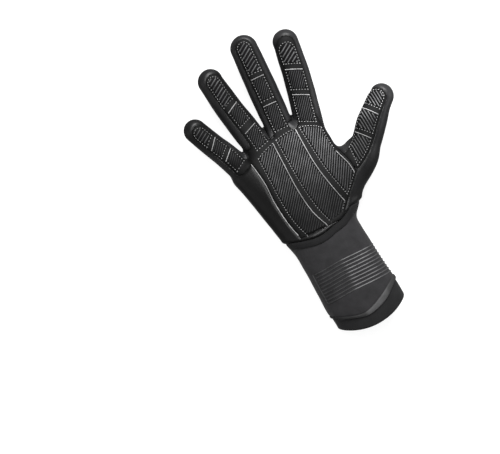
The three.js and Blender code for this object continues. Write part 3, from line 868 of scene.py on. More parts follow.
@dataclass(frozen=True)
class Wiring:
    """A node tree, with a short way to add nodes to it."""

    tree: bpy.types.NodeTree

    def add(self, kind: str, inputs: dict[str | int, object], **settings: object) -> bpy.types.Node:
        """Adds a node.

        Args:
            kind: The node's type.
            inputs: For each input, the socket that feeds it or its plain value.
            settings: The node's own settings.

        Returns:
            The new node.
        """
        node = self.tree.nodes.new(kind)
        for name, value in settings.items():
            setattr(node, name, value)
        self.feed(node, inputs)
        return node

    def feed(self, node: bpy.types.Node, inputs: dict[str | int, object]) -> None:
        """Links or sets a node's inputs.

        Args:
            node: The node.
            inputs: For each input, the socket that feeds it or its plain value.
        """
        for key, value in inputs.items():
            if isinstance(value, bpy.types.NodeSocket):
                self.tree.links.new(value, node.inputs[key])
            else:
                node.inputs[key].default_value = value


# ---------------------------------------------------------------- finishes


class Surface(Enum):
    """The kinds of fine relief that a finish can have."""

    PORES = "pores"
    KNIT = "knit"
    PLUSH = "plush"
    SMOOTH = "smooth"


# The uneven colour of every finish: the size of its spots in millimetres, its detail and its ramp's stops
MOTTLE_SIZE = 9.0
MOTTLE_DETAIL = 4.0
MOTTLE_STOPS = (0.3, 0.7)
# Painted shade: the near black that the colour is darkened towards along the seam grooves
PAINTED_SEAM_SHADE_COLOUR = (0.002, 0.002, 0.002, 1)
RELIEF_DETAIL = {Surface.PORES: 2.0, Surface.PLUSH: 6.0}


@dataclass(frozen=True)
class Finish:
    """One material: its colour, how it shines and its fine relief."""

    name: str
    colour: tuple[float, float, float]
    roughness: float
    specular: float = 0.5
    sheen: float = 0.0
    surface: Surface = Surface.SMOOTH
    grain_mm: float = 0.5
    depth_mm: float = 0.03
    mottle: float = 0.12
    # Painted shade along the seam grooves: how far the colour is darkened there
    seam_shade: float = 0.0
    # True where the colour is scaled by the painted light and shade of the palm and cuff
    toned: bool = False

    def build(self) -> bpy.types.Material:
        """Makes the material, once, and shares it after that.

        Returns:
            The material.
        """
        known = bpy.data.materials.get(self.name)
        if known:
            return known
        material = bpy.data.materials.new(self.name)
        material.use_nodes = True
        wiring = Wiring(material.node_tree)
        place = wiring.add("ShaderNodeTexCoord", {}).outputs["Object"]
        look = {
            "Roughness": self.roughness,
            "Specular IOR Level": self.specular,
            "Sheen Weight": self.sheen,
            "Sheen Roughness": 0.5,
            "Base Color": self.tint(wiring, place),
        }
        height = self.relief(wiring, place)
        if height:
            relief = {"Distance": self.depth_mm * METRES_PER_MM, "Strength": 1.0, "Height": height}
            look["Normal"] = wiring.add("ShaderNodeBump", relief).outputs["Normal"]
        wiring.feed(wiring.tree.nodes["Principled BSDF"], look)
        material.diffuse_color = (*self.colour, 1)
        return material

    def noise(self, wiring: Wiring, place: bpy.types.NodeSocket, size_mm: float, detail: float) -> bpy.types.NodeSocket:
        """Adds a noise pattern.

        Args:
            wiring: The material's nodes.
            place: The place that the pattern depends on.
            size_mm: About how large its spots are.
            detail: How many finer patterns lie over it.

        Returns:
            The pattern, 0 to 1.
        """
        inputs = {"Scale": 1 / (size_mm * METRES_PER_MM), "Detail": detail, "Vector": place}
        return wiring.add("ShaderNodeTexNoise", inputs).outputs["Fac"]

    def tint(self, wiring: Wiring, place: bpy.types.NodeSocket) -> bpy.types.NodeSocket:
        """Adds the colour, a little uneven, with painted light and shade scaled in from a point attribute, and painted
        shade along the seam grooves.

        Args:
            wiring: The material's nodes.
            place: The place that the colour depends on.

        Returns:
            The colour.
        """
        ramp = wiring.add("ShaderNodeValToRGB", {"Fac": self.noise(wiring, place, MOTTLE_SIZE, MOTTLE_DETAIL)})
        for stop, position, gain in zip(ramp.color_ramp.elements, MOTTLE_STOPS, (1 - self.mottle, 1 + self.mottle)):
            stop.position = position
            stop.color = (*(value * gain for value in self.colour), 1)
        colour = ramp.outputs["Color"]
        # Painted light and shade: the colour is scaled by a point attribute
        if self.toned:
            tone = wiring.add("ShaderNodeAttribute", {}, attribute_name="tone").outputs["Fac"]
            colour = wiring.add("ShaderNodeVectorMath", {0: colour, "Scale": tone}, operation="SCALE").outputs["Vector"]
        # Painted shade along the seam grooves
        if not self.seam_shade:
            return colour
        seam = wiring.add("ShaderNodeAttribute", {}, attribute_name="seam").outputs["Fac"]
        strength = wiring.add("ShaderNodeMath", {0: seam, 1: self.seam_shade}, operation="MULTIPLY").outputs["Value"]
        inputs = {"Factor": strength, "A": colour, "B": PAINTED_SEAM_SHADE_COLOUR}
        return wiring.add("ShaderNodeMix", inputs, data_type="RGBA").outputs["Result"]

    def relief(self, wiring: Wiring, place: bpy.types.NodeSocket) -> bpy.types.NodeSocket | None:
        """Adds the height pattern.

        Args:
            wiring: The material's nodes.
            place: The place that the pattern depends on.

        Returns:
            The height, or nothing for a smooth finish.
        """
        if self.surface is Surface.SMOOTH:
            return None
        if self.surface is Surface.KNIT:
            inputs = {"Scale": 1 / (self.grain_mm * METRES_PER_MM), "Vector": place}
            return wiring.add("ShaderNodeTexVoronoi", inputs).outputs["Distance"]
        return self.noise(wiring, place, self.grain_mm, RELIEF_DETAIL[self.surface])


# After the mottle a finish gives its painted shade along the seam grooves, then whether it takes the painted light and
# shade of the palm and cuff
SMOOTH_SKIN = Finish(
    "smooth_neoprene_skin", (0.022, 0.022, 0.0232), 0.42, 0.33, 0.0, Surface.PORES, 0.7, 0.04, 0.1, 0.8, True
)
PALM_FABRIC = Finish(
    "black_palm_cover", (0.0075, 0.0075, 0.0078), 0.7, 0.2, 0.0, Surface.KNIT, 0.9, 0.06, 0.2, 0.5, True
)
PAD_RUBBER = Finish(
    "black_grip_base", (0.004, 0.004, 0.0042), 0.75, 0.12, 0.0, Surface.PORES, 0.6, 0.04, 0.15, 0.4
)
RIB_RUBBER = Finish("grey_grip_ribs", (0.115, 0.115, 0.118), 0.6, 0.25, mottle=0.35, toned=True)
FINGER_RIB_RUBBER = Finish("dark_finger_ribs", (0.05, 0.05, 0.052), 0.6, 0.2, mottle=0.35, toned=True)
TIP_RIB_RUBBER = Finish("grey_fingertip_ribs", (0.12, 0.12, 0.123), 0.5, 0.3, mottle=0.5, toned=True)
THREAD = Finish("pale_thread", (0.5, 0.5, 0.5), 0.7, 0.3, 0.1, mottle=0.35, toned=True)
PIPING = Finish("pale_seam_line", (0.46, 0.46, 0.46), 0.6, 0.3, mottle=0.4, toned=True)
CUFF_FABRIC = Finish(
    "charcoal_cuff_jersey", (0.021, 0.0205, 0.0218), 0.85, 0.18, 0.05, Surface.KNIT, 0.8, 0.1, 0.18, 0.6
)
END_FABRIC = Finish(
    "dark_end_band_jersey", (0.0115, 0.0115, 0.012), 0.85, 0.15, 0.03, Surface.KNIT, 0.8, 0.1, 0.15, 0.3
)
CUFF_RUBBER = Finish(
    "grey_cuff_rubber", (0.11, 0.11, 0.112), 0.5, 0.3, 0.0, Surface.PORES, 0.8, 0.03, 0.25, toned=True
)
HEM_RUBBER = Finish(
    "grey_hem_tape", (0.046, 0.046, 0.047), 0.6, 0.3, 0.0, Surface.PORES, 0.8, 0.04, 0.18, toned=True
)
WRIST_FABRIC = Finish(
    "black_wrist_band_jersey", (0.007, 0.007, 0.0074), 0.8, 0.18, 0.03, Surface.KNIT, 0.8, 0.08, 0.15
)
SEAM_TAPE = Finish("dark_seam_tape", (0.006, 0.006, 0.0064), 0.5, 0.35, 0.0, Surface.PORES, 0.8, 0.03, 0.1)
BADGE_FACE = Finish("dark_badge_face", (0.01, 0.01, 0.0105), 0.4, 0.4, 0.0, Surface.PORES, 0.7, 0.03, 0.08)
BADGE_RING = Finish("light_badge_ring", (0.25, 0.25, 0.252), 0.45, 0.4)
LINING = Finish("plush_lining", (0.035, 0.035, 0.036), 0.95, 0.1, 0.2, Surface.PLUSH, 0.9, 0.3, 0.25)
FOAM_EDGE = Finish("cut_neoprene_edge", (0.012, 0.012, 0.012), 0.9, 0.15, 0.0, Surface.PORES, 0.4, 0.08, 0.1)


# ---------------------------------------------------------------- meshes


@dataclass(frozen=True)
class PaintedPalmLight:
    """Painted light and shade over the palm side: how light the finishes that take it are, as shares of their own
    colour.
    """

    heel: float = 0.14
    to_roots: Fade = Fade(108.0, 80.0, 0.91)
    to_tips: Fade = Fade(215.0, 14.0, 0.3)
    side_slope: float = 0.008
    side_limits: tuple[float, float] = (0.3, 1.35)
    little_side: Fade = Fade(36.0, 8.0, 0.92)
    below_little: Fade = Fade(-205.0, 20.0)
    thumb_side: Fade = Fade(42.0, 10.0, 0.6)
    below_index: Fade = Fade(-188.0, 14.0)
    cuff_end: float = 90.0
    # Painted shade and a painted highlight across the cuff's palm side
    cuff_dark: float = 0.3
    cuff_light: float = 0.9
    cuff_rise: Fade = Fade(-9.0, 6.0)
    cuff_fall: Fade = Fade(17.0, 6.0, 0.65)
    # Painted shade on the sides and the back, where the palm side ends
    back: float = 0.75
    side_stretch: float = 6.0

    def at(self, points: Array) -> Array:
        """The painted light and shade at points.

        Args:
            points: Points in the design frame.

        Returns:
            For each point a share: about 1 at the fingers' roots, with painted shade towards the heel of the hand and
            the little finger's side; on the cuff's palm side, a painted highlight beside its middle.
        """
        x, y, z = points.T
        # Painted light and shade on the hand: lighter towards the fingers' roots, darker towards the heel, the
        # fingertips and the sides
        hand = self.heel + self.to_roots.at(y)
        hand *= 1 - self.to_tips.at(y)
        hand *= np.clip(1 + self.side_slope * x, *self.side_limits)
        hand *= 1 - self.little_side.at(-x) * self.below_little.at(-y)
        hand *= 1 - self.thumb_side.at(x) * self.below_index.at(-y)
        # Painted highlight across the middle of the cuff's palm side, painted shade to each side
        cuff = self.cuff_dark + self.cuff_light * self.cuff_rise.at(x) * (1 - self.cuff_fall.at(x))
        tone = np.where(y > self.cuff_end, hand, cuff)
        return self.back + (tone - self.back) * palm_share(z, self.side_stretch)


PAINTED_PALM_LIGHT = PaintedPalmLight()


def write_attribute(mesh: bpy.types.Mesh, name: str, values: Array) -> None:
    """Writes one number or one vector for each point of a mesh."""
    kind, key = ("FLOAT", "value") if values.ndim == 1 else ("FLOAT_VECTOR", "vector")
    mesh.attributes.new(name, kind, "POINT").data.foreach_set(key, values.astype(np.float32).ravel())


def add_object(name: str, data: bpy.types.ID) -> bpy.types.Object:
    """Makes an object at the origin and links it to the scene.

    Args:
        name: The object's name.
        data: Its mesh, light or camera.

    Returns:
        The new object.
    """
    thing = bpy.data.objects.new(name, data)
    bpy.context.scene.collection.objects.link(thing)
    return thing


def placed(points: Array, shift: Array) -> Array:
    """Design-frame points in the frame of the CAD parts, in metres."""
    return (points + shift) * METRES_PER_MM


@dataclass
class Placer:
    """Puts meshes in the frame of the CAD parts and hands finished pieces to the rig."""

    shift: Array = field(init=False)
    lowest: float = 0.02

    def __post_init__(self) -> None:
        """Finds the shift from the design frame by the badge's own place."""
        low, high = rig.box("badge")
        middle = [(a + b) / 2 / METRES_PER_MM for a, b in zip(low, high)]
        across, along = SIZES.badge_centre
        self.shift = np.array((middle[0] - across, middle[1] - along, 0.0))

    def mesh(
        self,
        name: str,
        points: Array,
        triangles: Array,
        marks: Array,
        finishes: tuple[Finish, ...],
        seam: Array | None = None,
    ) -> bpy.types.Object:
        """A mesh object from arrays.

        Args:
            name: The object's name.
            points: Points in the design frame.
            triangles: Triangles that face outwards.
            marks: For each triangle, which finish it has.
            finishes: The finishes of the object.
            seam: For each point, how near a seam it is, from 0 to 1, which sets the painted shade there.

        Returns:
            The new object, linked to the scene.
        """
        points = np.column_stack([points[:, :2], np.maximum(points[:, 2], self.lowest)])
        mesh = bpy.data.meshes.new(name)
        mesh.vertices.add(len(points))
        mesh.vertices.foreach_set("co", placed(points, self.shift).astype(np.float32).ravel())
        mesh.loops.add(triangles.size)
        mesh.loops.foreach_set("vertex_index", triangles.astype(np.int32).ravel())
        mesh.polygons.add(len(triangles))
        mesh.polygons.foreach_set("loop_start", np.arange(0, triangles.size, 3, dtype=np.int32))
        mesh.polygons.foreach_set("material_index", marks.astype(np.int32))
        mesh.update(calc_edges=True)
        mesh.validate()
        mesh.polygons.foreach_set("use_smooth", np.ones(len(mesh.polygons), bool))
        for finish in finishes:
            mesh.materials.append(finish.build())
        # How near each point is to a seam, which sets the painted shade along the groove
        if seam is not None:
            write_attribute(mesh, "seam", seam)
        # Painted light and shade for the finishes that take it
        write_attribute(mesh, "tone", PAINTED_PALM_LIGHT.at(points))
        return add_object(name, mesh)

    def paths(self, name: str, paths: Paths, least_painted_light: float = 0.0) -> bpy.types.Object:
        """Open lines as an object of edges, each point with the direction out of the skin.

        Args:
            name: The object's name.
            paths: For each line, its points and their directions.
            least_painted_light: The least share of painted light, so the darkest painted shade, that a place on the
                lines may have.

        Returns:
            The new object, linked to the scene.
        """
        points = np.vstack([path for path, _ in paths])
        outs = np.vstack([out for _, out in paths])
        edges, first = [], 0
        for path, _ in paths:
            edges += [(first + i, first + i + 1) for i in range(len(path) - 1)]
            first += len(path)
        mesh = bpy.data.meshes.new(name)
        mesh.from_pydata(placed(points, self.shift).tolist(), edges, [])
        write_attribute(mesh, "skin_out", outs)
        # Painted light and shade along the lines, kept no darker than the least given
        write_attribute(mesh, "tone", np.maximum(PAINTED_PALM_LIGHT.at(points), least_painted_light))
        return add_object(name, mesh)

    def keep(self, thing: bpy.types.Object, slot: str, nodes: tuple[str, ...] = ()) -> None:
        """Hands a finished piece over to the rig.

        Args:
            thing: The piece.
            slot: Its material slot.
            nodes: The CAD nodes that it stands for, or none for an added piece.
        """
        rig.ride(thing, "root")
        if nodes:
            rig.replaces(thing, *nodes)
        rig.slot(thing, slot)
        LOG.info("%s: %d faces", thing.name, len(thing.data.polygons))


def closed_wall(skin: Skin, top: Array, bottom: Array) -> tuple[Array, Array, Array]:
    """A closed piece between two offsets of one cut skin.

    Args:
        skin: The cut skin.
        top: For each point, how far the outer face stands off the skin.
        bottom: The same for the inner face.

    Returns:
        Points, triangles and marks: 0 outside, 1 inside, 2 on the rim.
    """
    count = len(skin.points)
    outer = skin.points + skin.normals * top[:, None]
    inner = skin.points + skin.normals * bottom[:, None]
    edges = open_edges(skin.triangles)
    a, b = edges.T
    rim = np.vstack([np.column_stack([b, a, a + count]), np.column_stack([b, a + count, b + count])])
    triangles = np.vstack([skin.triangles, skin.triangles[:, ::-1] + count, rim])
    marks = np.concatenate([np.zeros(len(skin.triangles)), np.ones(len(skin.triangles)), np.full(len(rim), 2)])
    return np.vstack([outer, inner]), triangles, marks


def even(path: Array, step: float) -> Array:
    """Spaces the points of a line evenly.

    Args:
        path: The line, with any number of columns.
        step: About how far apart the new points are.

    Returns:
        The same line with points a step apart.
    """
    lengths = np.concatenate([[0], np.cumsum(np.linalg.norm(np.diff(path, axis=0), axis=1))])
    count = max(int(round(lengths[-1] / step)), 1) + 1
    spots = np.linspace(0, lengths[-1], count)
    return np.column_stack([np.interp(spots, lengths, path[:, k]) for k in range(path.shape[1])])


def runs(keep: Array) -> list[slice]:
    """Stretches of a row of flags that are all true."""
    edges = np.flatnonzero(np.diff(np.concatenate([[0], keep.astype(int), [0]])))
    return [slice(a, b) for a, b in zip(edges[::2], edges[1::2]) if b - a > 1]


# ---------------------------------------------------------------- Geometry Nodes


class NodeTools:
    """Geometry Nodes trees that turn lines on the skin into cords, ribs and stitches."""

    def new_tree(self, name: str, kinds: dict[str, str]) -> tuple[Wiring, bpy.types.Node]:
        """Starts a tree.

        Args:
            name: The tree's name.
            kinds: For each input besides the lines and the material, its kind.

        Returns:
            The tree and the node that gives its inputs.
        """
        tree = bpy.data.node_groups.new(name, "GeometryNodeTree")
        for label, kind in {"Geometry": "Geometry", **kinds, "Material": "Material"}.items():
            tree.interface.new_socket(label, in_out="INPUT", socket_type=f"NodeSocket{kind}")
        tree.interface.new_socket("Geometry", in_out="OUTPUT", socket_type="NodeSocketGeometry")
        wiring = Wiring(tree)
        return wiring, wiring.add("NodeGroupInput", {})

    def end_tree(self, wiring: Wiring, given: bpy.types.Node, shape: bpy.types.NodeSocket) -> bpy.types.NodeTree:
        """Ends a tree with Realize Instances, smooth shading and Set Material.

        Args:
            wiring: The tree.
            given: The node that gives its inputs.
            shape: The shape that the tree has made.

        Returns:
            The finished tree.
        """
        for kind in ("GeometryNodeRealizeInstances", "GeometryNodeSetShadeSmooth", "GeometryNodeSetMaterial"):
            node = wiring.add(kind, {"Geometry": shape})
            shape = node.outputs["Geometry"]
        wiring.feed(node, {"Material": given.outputs["Material"]})
        wiring.add("NodeGroupOutput", {"Geometry": shape})
        return wiring.tree

    @cached_property
    def cord_tree(self) -> bpy.types.NodeTree:
        """A tree that sweeps a round section along lines."""
        wiring, given = self.new_tree("cord_along_lines", {"Radius": "Float", "Sides": "Int"})
        line = wiring.add("GeometryNodeMeshToCurve", {"Mesh": given.outputs["Geometry"]})
        size = {"Resolution": given.outputs["Sides"], "Radius": given.outputs["Radius"]}
        ring = wiring.add("GeometryNodeCurvePrimitiveCircle", size)
        parts = {"Curve": line.outputs["Curve"], "Profile Curve": ring.outputs["Curve"], "Fill Caps": True}
        sweep = wiring.add("GeometryNodeCurveToMesh", parts)
        return self.end_tree(wiring, given, sweep.outputs["Mesh"])

    @cached_property
    def stitch_tree(self) -> bpy.types.NodeTree:
        """A tree that lays stitches along lines, flat on the skin."""
        sizes = {"Pitch": "Float", "Length": "Float", "Width": "Float", "Height": "Float"}
        wiring, given = self.new_tree("stitches_along_lines", sizes)
        line = wiring.add("GeometryNodeMeshToCurve", {"Mesh": given.outputs["Geometry"]})
        steps = {"Curve": line.outputs["Curve"], "Length": given.outputs["Pitch"]}
        spread = wiring.add("GeometryNodeResampleCurve", steps, mode="LENGTH")
        tangent = wiring.add("GeometryNodeInputTangent", {})
        skin_out = wiring.add("GeometryNodeInputNamedAttribute", {"Name": "skin_out"}, data_type="FLOAT_VECTOR")
        up = {"Vector": skin_out.outputs["Attribute"]}
        lift = wiring.add("FunctionNodeAlignRotationToVector", up, axis="Z")
        ahead = {"Rotation": lift.outputs["Rotation"], "Vector": tangent.outputs["Tangent"]}
        turn = wiring.add("FunctionNodeAlignRotationToVector", ahead, axis="X", pivot_axis="Z")
        bead = wiring.add("GeometryNodeMeshUVSphere", {"Segments": 6, "Rings": 4, "Radius": 0.5})
        scale = {axis: given.outputs[label] for label, axis in (("Length", "X"), ("Width", "Y"), ("Height", "Z"))}
        parts = {
            "Points": spread.outputs["Curve"],
            "Instance": bead.outputs["Mesh"],
            "Rotation": turn.outputs["Rotation"],
            "Scale": wiring.add("ShaderNodeCombineXYZ", scale).outputs["Vector"],
        }
        place = wiring.add("GeometryNodeInstanceOnPoints", parts)
        return self.end_tree(wiring, given, place.outputs["Instances"])

    def apply(self, thing: bpy.types.Object, tree: bpy.types.NodeTree, values: dict[str, object]) -> bpy.types.Object:
        """Runs a tree on an object and leaves the plain mesh in its place.

        Args:
            thing: The object of lines.
            tree: The tree to run.
            values: For each named input, its value.

        Returns:
            The same object, with the finished mesh and no modifier.
        """
        modifier = thing.modifiers.new(tree.name, "NODES")
        modifier.node_group = tree
        for item in tree.interface.items_tree:
            if item.name in values:
                modifier[item.identifier] = values[item.name]
        graph = bpy.context.evaluated_depsgraph_get()
        mesh = bpy.data.meshes.new_from_object(thing.evaluated_get(graph))
        lines = thing.data
        thing.modifiers.clear()
        thing.data = mesh
        mesh.name = thing.name
        bpy.data.meshes.remove(lines)
        return thing

    def cords(self, thing: bpy.types.Object, radius_mm: float, finish: Finish, sides: int = 6) -> bpy.types.Object:
        """Turns an object of lines into round cords or ribs."""
        values = {"Radius": radius_mm * METRES_PER_MM, "Sides": sides, "Material": finish.build()}
        return self.apply(thing, self.cord_tree, values)

    def stitches(self, thing: bpy.types.Object, stitch: "Stitch") -> bpy.types.Object:
        """Turns an object of lines into rows of stitches."""
        sizes = {name.capitalize(): size * METRES_PER_MM for name, size in vars(stitch).items()}
        return self.apply(thing, self.stitch_tree, {**sizes, "Material": THREAD.build()})


@dataclass(frozen=True)
class Stitch:
    """The sizes of one stitch and the distance to the next, in millimetres."""

    pitch: float = 2.6
    length: float = 1.45
    width: float = 0.62
    height: float = 0.5


def join(first: bpy.types.Object, others: list[bpy.types.Object]) -> bpy.types.Object:
    """Adds other objects' meshes to the first one's, with their materials, and removes them.

    Args:
        first: The object that stays.
        others: The objects to add.

    Returns:
        The first object.
    """
    whole = bmesh.new()
    whole.from_mesh(first.data)
    for other in others:
        known = len(whole.faces)
        whole.from_mesh(other.data)
        whole.faces.ensure_lookup_table()
        slots = []
        for material in other.data.materials:
            names = [kept.name for kept in first.data.materials]
            if material.name not in names:
                first.data.materials.append(material)
                names.append(material.name)
            slots.append(names.index(material.name))
        for face in whole.faces[known:]:
            face.material_index = slots[face.material_index] if slots else 0
        bpy.data.objects.remove(other)
    whole.to_mesh(first.data)
    whole.free()
    return first


# ---------------------------------------------------------------- hand


@dataclass(frozen=True)
class SoftWall:
    """How a panel of full thickness ends at its seams, in millimetres."""

    seam_gap: float = 0.1
    groove_depth: float = 0.75
    groove_width: float = 1.3
    # Width of the painted shade along each seam groove
    shade_width: float = 1.1

    def build(
        self, placer: Placer, name: str, skin: Skin, inside: Array, finish: Finish, lip: Callable[[Skin], Array]
    ) -> bpy.types.Object:
        """Cuts a panel out of the skin and gives it its wall, its lining and its grooved seams, with painted shade
        along the grooves.

        Args:
            placer: Makes the object.
            name: The CAD node that the panel stands for.
            skin: The glove's whole skin.
            inside: For each of its points, how far it is inside the panel.
            finish: The finish of the outside.
            lip: A function of the cut skin, how far each of its points is raised.

        Returns:
            The panel.
        """
        part, depth = clip(skin, inside - self.seam_gap)
        top = lip(part) - self.groove_depth * bell(depth, 0, self.groove_width)
        points, triangles, marks = closed_wall(part, top, np.full(len(depth), -SIZES.wall))
        # Painted shade along the seam groove, on the outer face only
        seam = np.concatenate([bell(depth, 0, self.shade_width), np.zeros(len(depth))])
        return placer.mesh(f"{name}_soft", points, triangles, marks, (finish, LINING, FOAM_EDGE), seam)


@dataclass(frozen=True)
class StripRow:
    """A strip along a finger.

    Its ends are shares of the finger's centreline. Half its width, and its shift to the thumb side, are
    shares of the finger's width.
    """

    finger: str
    first: float
    last: float
    half: float
    shift: float


@dataclass
class Strip:
    """A plan outline that follows a finger, with its two sides and its two ends."""

    left: Array
    right: Array
    start: Array
    end: Array

    @classmethod
    def along(
        cls,
        form: GloveForm,
        row: StripRow,
        grow: float = 0.0,
        round_end: bool = True,
        slants: tuple[float, float] = (0.0, 0.0),
    ) -> "Strip":
        """Works out a strip.

        Args:
            form: The glove's form.
            row: The strip's place and width.
            grow: How far every side is moved outwards, in millimetres.
            round_end: True for a half-round end at the fingertip.
            slants: Turns of its two ends from square, anticlockwise, in degrees.

        Returns:
            The strip.
        """
        line = form.lines[row.finger][:, :3]
        width = FINGER_BY_NAME[row.finger].width
        lengths = np.concatenate([[0], np.cumsum(np.linalg.norm(np.diff(line, axis=0), axis=1))])
        whole = lengths[-1]
        ends = (row.first * whole - grow, row.last * whole + (0 if round_end else grow))
        spots = np.clip(np.linspace(*ends, STRIP_POINTS), 0, whole)
        centre = np.column_stack([np.interp(spots, lengths, line[:, k]) for k in (0, 1)])
        run = np.gradient(centre, axis=0)
        run /= np.linalg.norm(run, axis=1, keepdims=True)
        aside = np.column_stack([run[:, 1], -run[:, 0]])
        centre = centre + aside * row.shift * width
        reach = row.half * width + grow
        ahead = np.tan(np.radians(np.linspace(*slants, len(centre))))[:, None] * run * reach
        left, right = centre - aside * reach - ahead, centre + aside * reach + ahead
        end = np.array([right[-1], left[-1]])
        if round_end:
            turns = np.linspace(0, math.pi, STRIP_END_POINTS)[:, None]
            end = centre[-1] + aside[-1] * np.cos(turns) * reach + run[-1] * np.sin(turns) * reach
        return cls(left, right, np.array([left[0], right[0]]), end)

    @property
    def outline(self) -> Array:
        """The closed outline, anticlockwise."""
        return np.vstack([self.right, self.end[1:-1], self.left[::-1]])


@dataclass
class HandPanels:
    """The panels of the hand, cut from one skin along the glove's seams."""

    form: GloveForm
    placer: Placer
    wrist: LevelLine
    wall: SoftWall = SoftWall()
    lip_rise: float = 0.8
    lip_place: float = 2.2
    lip_width: float = 2.6
    lip_side: Fade = Fade(12.0, 12.0)
    strip_margin: float = 2.2
    strip_round: float = 5.0
    strip_blend: float = 4.0
    strips: tuple[StripRow, ...] = (
        StripRow("index", 0.08, 0.955, 0.29, -0.06),
        StripRow("middle", 0.08, 1.0, 0.23, -0.02),
        StripRow("ring", 0.08, 0.965, 0.24, 0.1),
        StripRow("little", 0.24, 0.92, 0.25, 0.04),
    )
    thumb_strip: StripRow = StripRow("thumb", 0.37, 0.96, 0.25, -0.13)

    def palm_field(self, points: Array) -> Array:
        """Distance into the palm fabric, as seen from above.

        Args:
            points: Any points.

        Returns:
            One distance for each point, positive inside the fabric.
        """
        plan = points[:, :2]
        between = inside_distance(plan, np.vstack([seam_curve("outer_edge"), seam_curve("thumb_seam")[::-1]]))
        fabric = np.minimum(between, plan[:, 1] - height_of(plan_curve(PALM_PANEL_BOTTOM), plan[:, 0]))
        for row in self.strips:
            outline = Strip.along(self.form, row, self.strip_margin - self.strip_round).outline
            fabric = smooth_most(fabric, inside_distance(plan, outline) + self.strip_round, self.strip_blend)
        return np.minimum(fabric, points[:, 2] - SIZES.parting)

    def thumb_field(self, points: Array) -> Array:
        """Distance into the thumb's strip of palm fabric."""
        outline = Strip.along(self.form, self.thumb_strip, self.strip_margin).outline
        return np.minimum(inside_distance(points[:, :2], outline), points[:, 2] - SIZES.parting)

    def finger_field(self, points: Array, left: Pairs, right: Pairs) -> Array:
        """Distance into one of the two middle fingers beyond the knuckle seam.

        Args:
            points: Any points.
            left: The line between the finger and its neighbour on the little finger's side.
            right: The same on the thumb side.

        Returns:
            One distance for each point, positive inside the finger.
        """
        outline = np.vstack([plan_curve(left), plan_curve(right)[::-1]])
        past = points[:, 1] - height_of(plan_curve(KNUCKLE_SEAM), points[:, 0])
        return np.minimum(inside_distance(points[:, :2], outline), past)

    def lip(self, part: Skin) -> Array:
        """The raised lip of the hand along the wrist seam, on the palm side."""
        past = part.points[:, 1] - self.wrist.at(part.points[:, 0], part.points[:, 2])
        return self.lip_rise * self.lip_side.at(part.points[:, 2]) * bell(past, self.lip_place, self.lip_width)

    def build(self, skin: Skin, hand: Array) -> None:
        """Builds every panel of the hand.

        Args:
            skin: The glove's whole skin.
            hand: For each of its points, how far it is past the wrist seam.
        """
        palm, thumb = self.palm_field(skin.points), self.thumb_field(skin.points)
        ring = self.finger_field(skin.points, BETWEEN_LITTLE_AND_RING, BETWEEN_RING_AND_MIDDLE)
        middle = self.finger_field(skin.points, BETWEEN_RING_AND_MIDDLE, BETWEEN_MIDDLE_AND_INDEX)
        for name, fields, finish, slot in (
            ("palm_panel", (palm,), PALM_FABRIC, "palm_fabric"),
            ("thumb_panel", (thumb, -palm), PALM_FABRIC, "palm_fabric"),
            ("ring_finger_back", (ring, -palm), SMOOTH_SKIN, "smooth_skin"),
            ("middle_finger_back", (middle, -palm), SMOOTH_SKIN, "smooth_skin"),
            ("back_panel", (-palm, -thumb, -ring, -middle), SMOOTH_SKIN, "smooth_skin"),
        ):
            inside = np.minimum.reduce([hand, *fields])
            thing = self.wall.build(self.placer, name, skin, inside, finish, self.lip)
            self.placer.keep(thing, slot, (name,))


# ---------------------------------------------------------------- grips


@dataclass(frozen=True)
class Ribbing:
    """Parallel ribs on a grip, in degrees and millimetres, and their finish."""

    angle: float = 47.0
    pitch: float = 2.2
    radius: float = 0.52
    lift: float = 0.45
    inset: float = 0.35
    finish: Finish = RIB_RUBBER


FINE_RIBS = Ribbing(53.0)
INNER_RIBS = Ribbing(60.0)
FINGER_RIBS = Ribbing(52.0, 2.0, 0.42, 0.42, 0.3, FINGER_RIB_RUBBER)
TIP_RIBS = Ribbing(34.0, 3.3, 0.72, 0.15, 0.5, TIP_RIB_RUBBER)
THUMB_RIBS = Ribbing(93.0, 2.5, 0.58, 0.25, 0.4, TIP_RIB_RUBBER)


@dataclass(frozen=True)
class PadRow(StripRow):
    """One grip pad of a finger: its part of the finger, its ribs and the slants of its ends in degrees."""

    part: str
    ribs: Ribbing
    slants: tuple[float, float] = (0.0, 0.0)

    def strip(self, form: GloveForm) -> Strip:
        """The pad's outline."""
        return Strip.along(form, self, round_end=self.part == "tip", slants=self.slants)


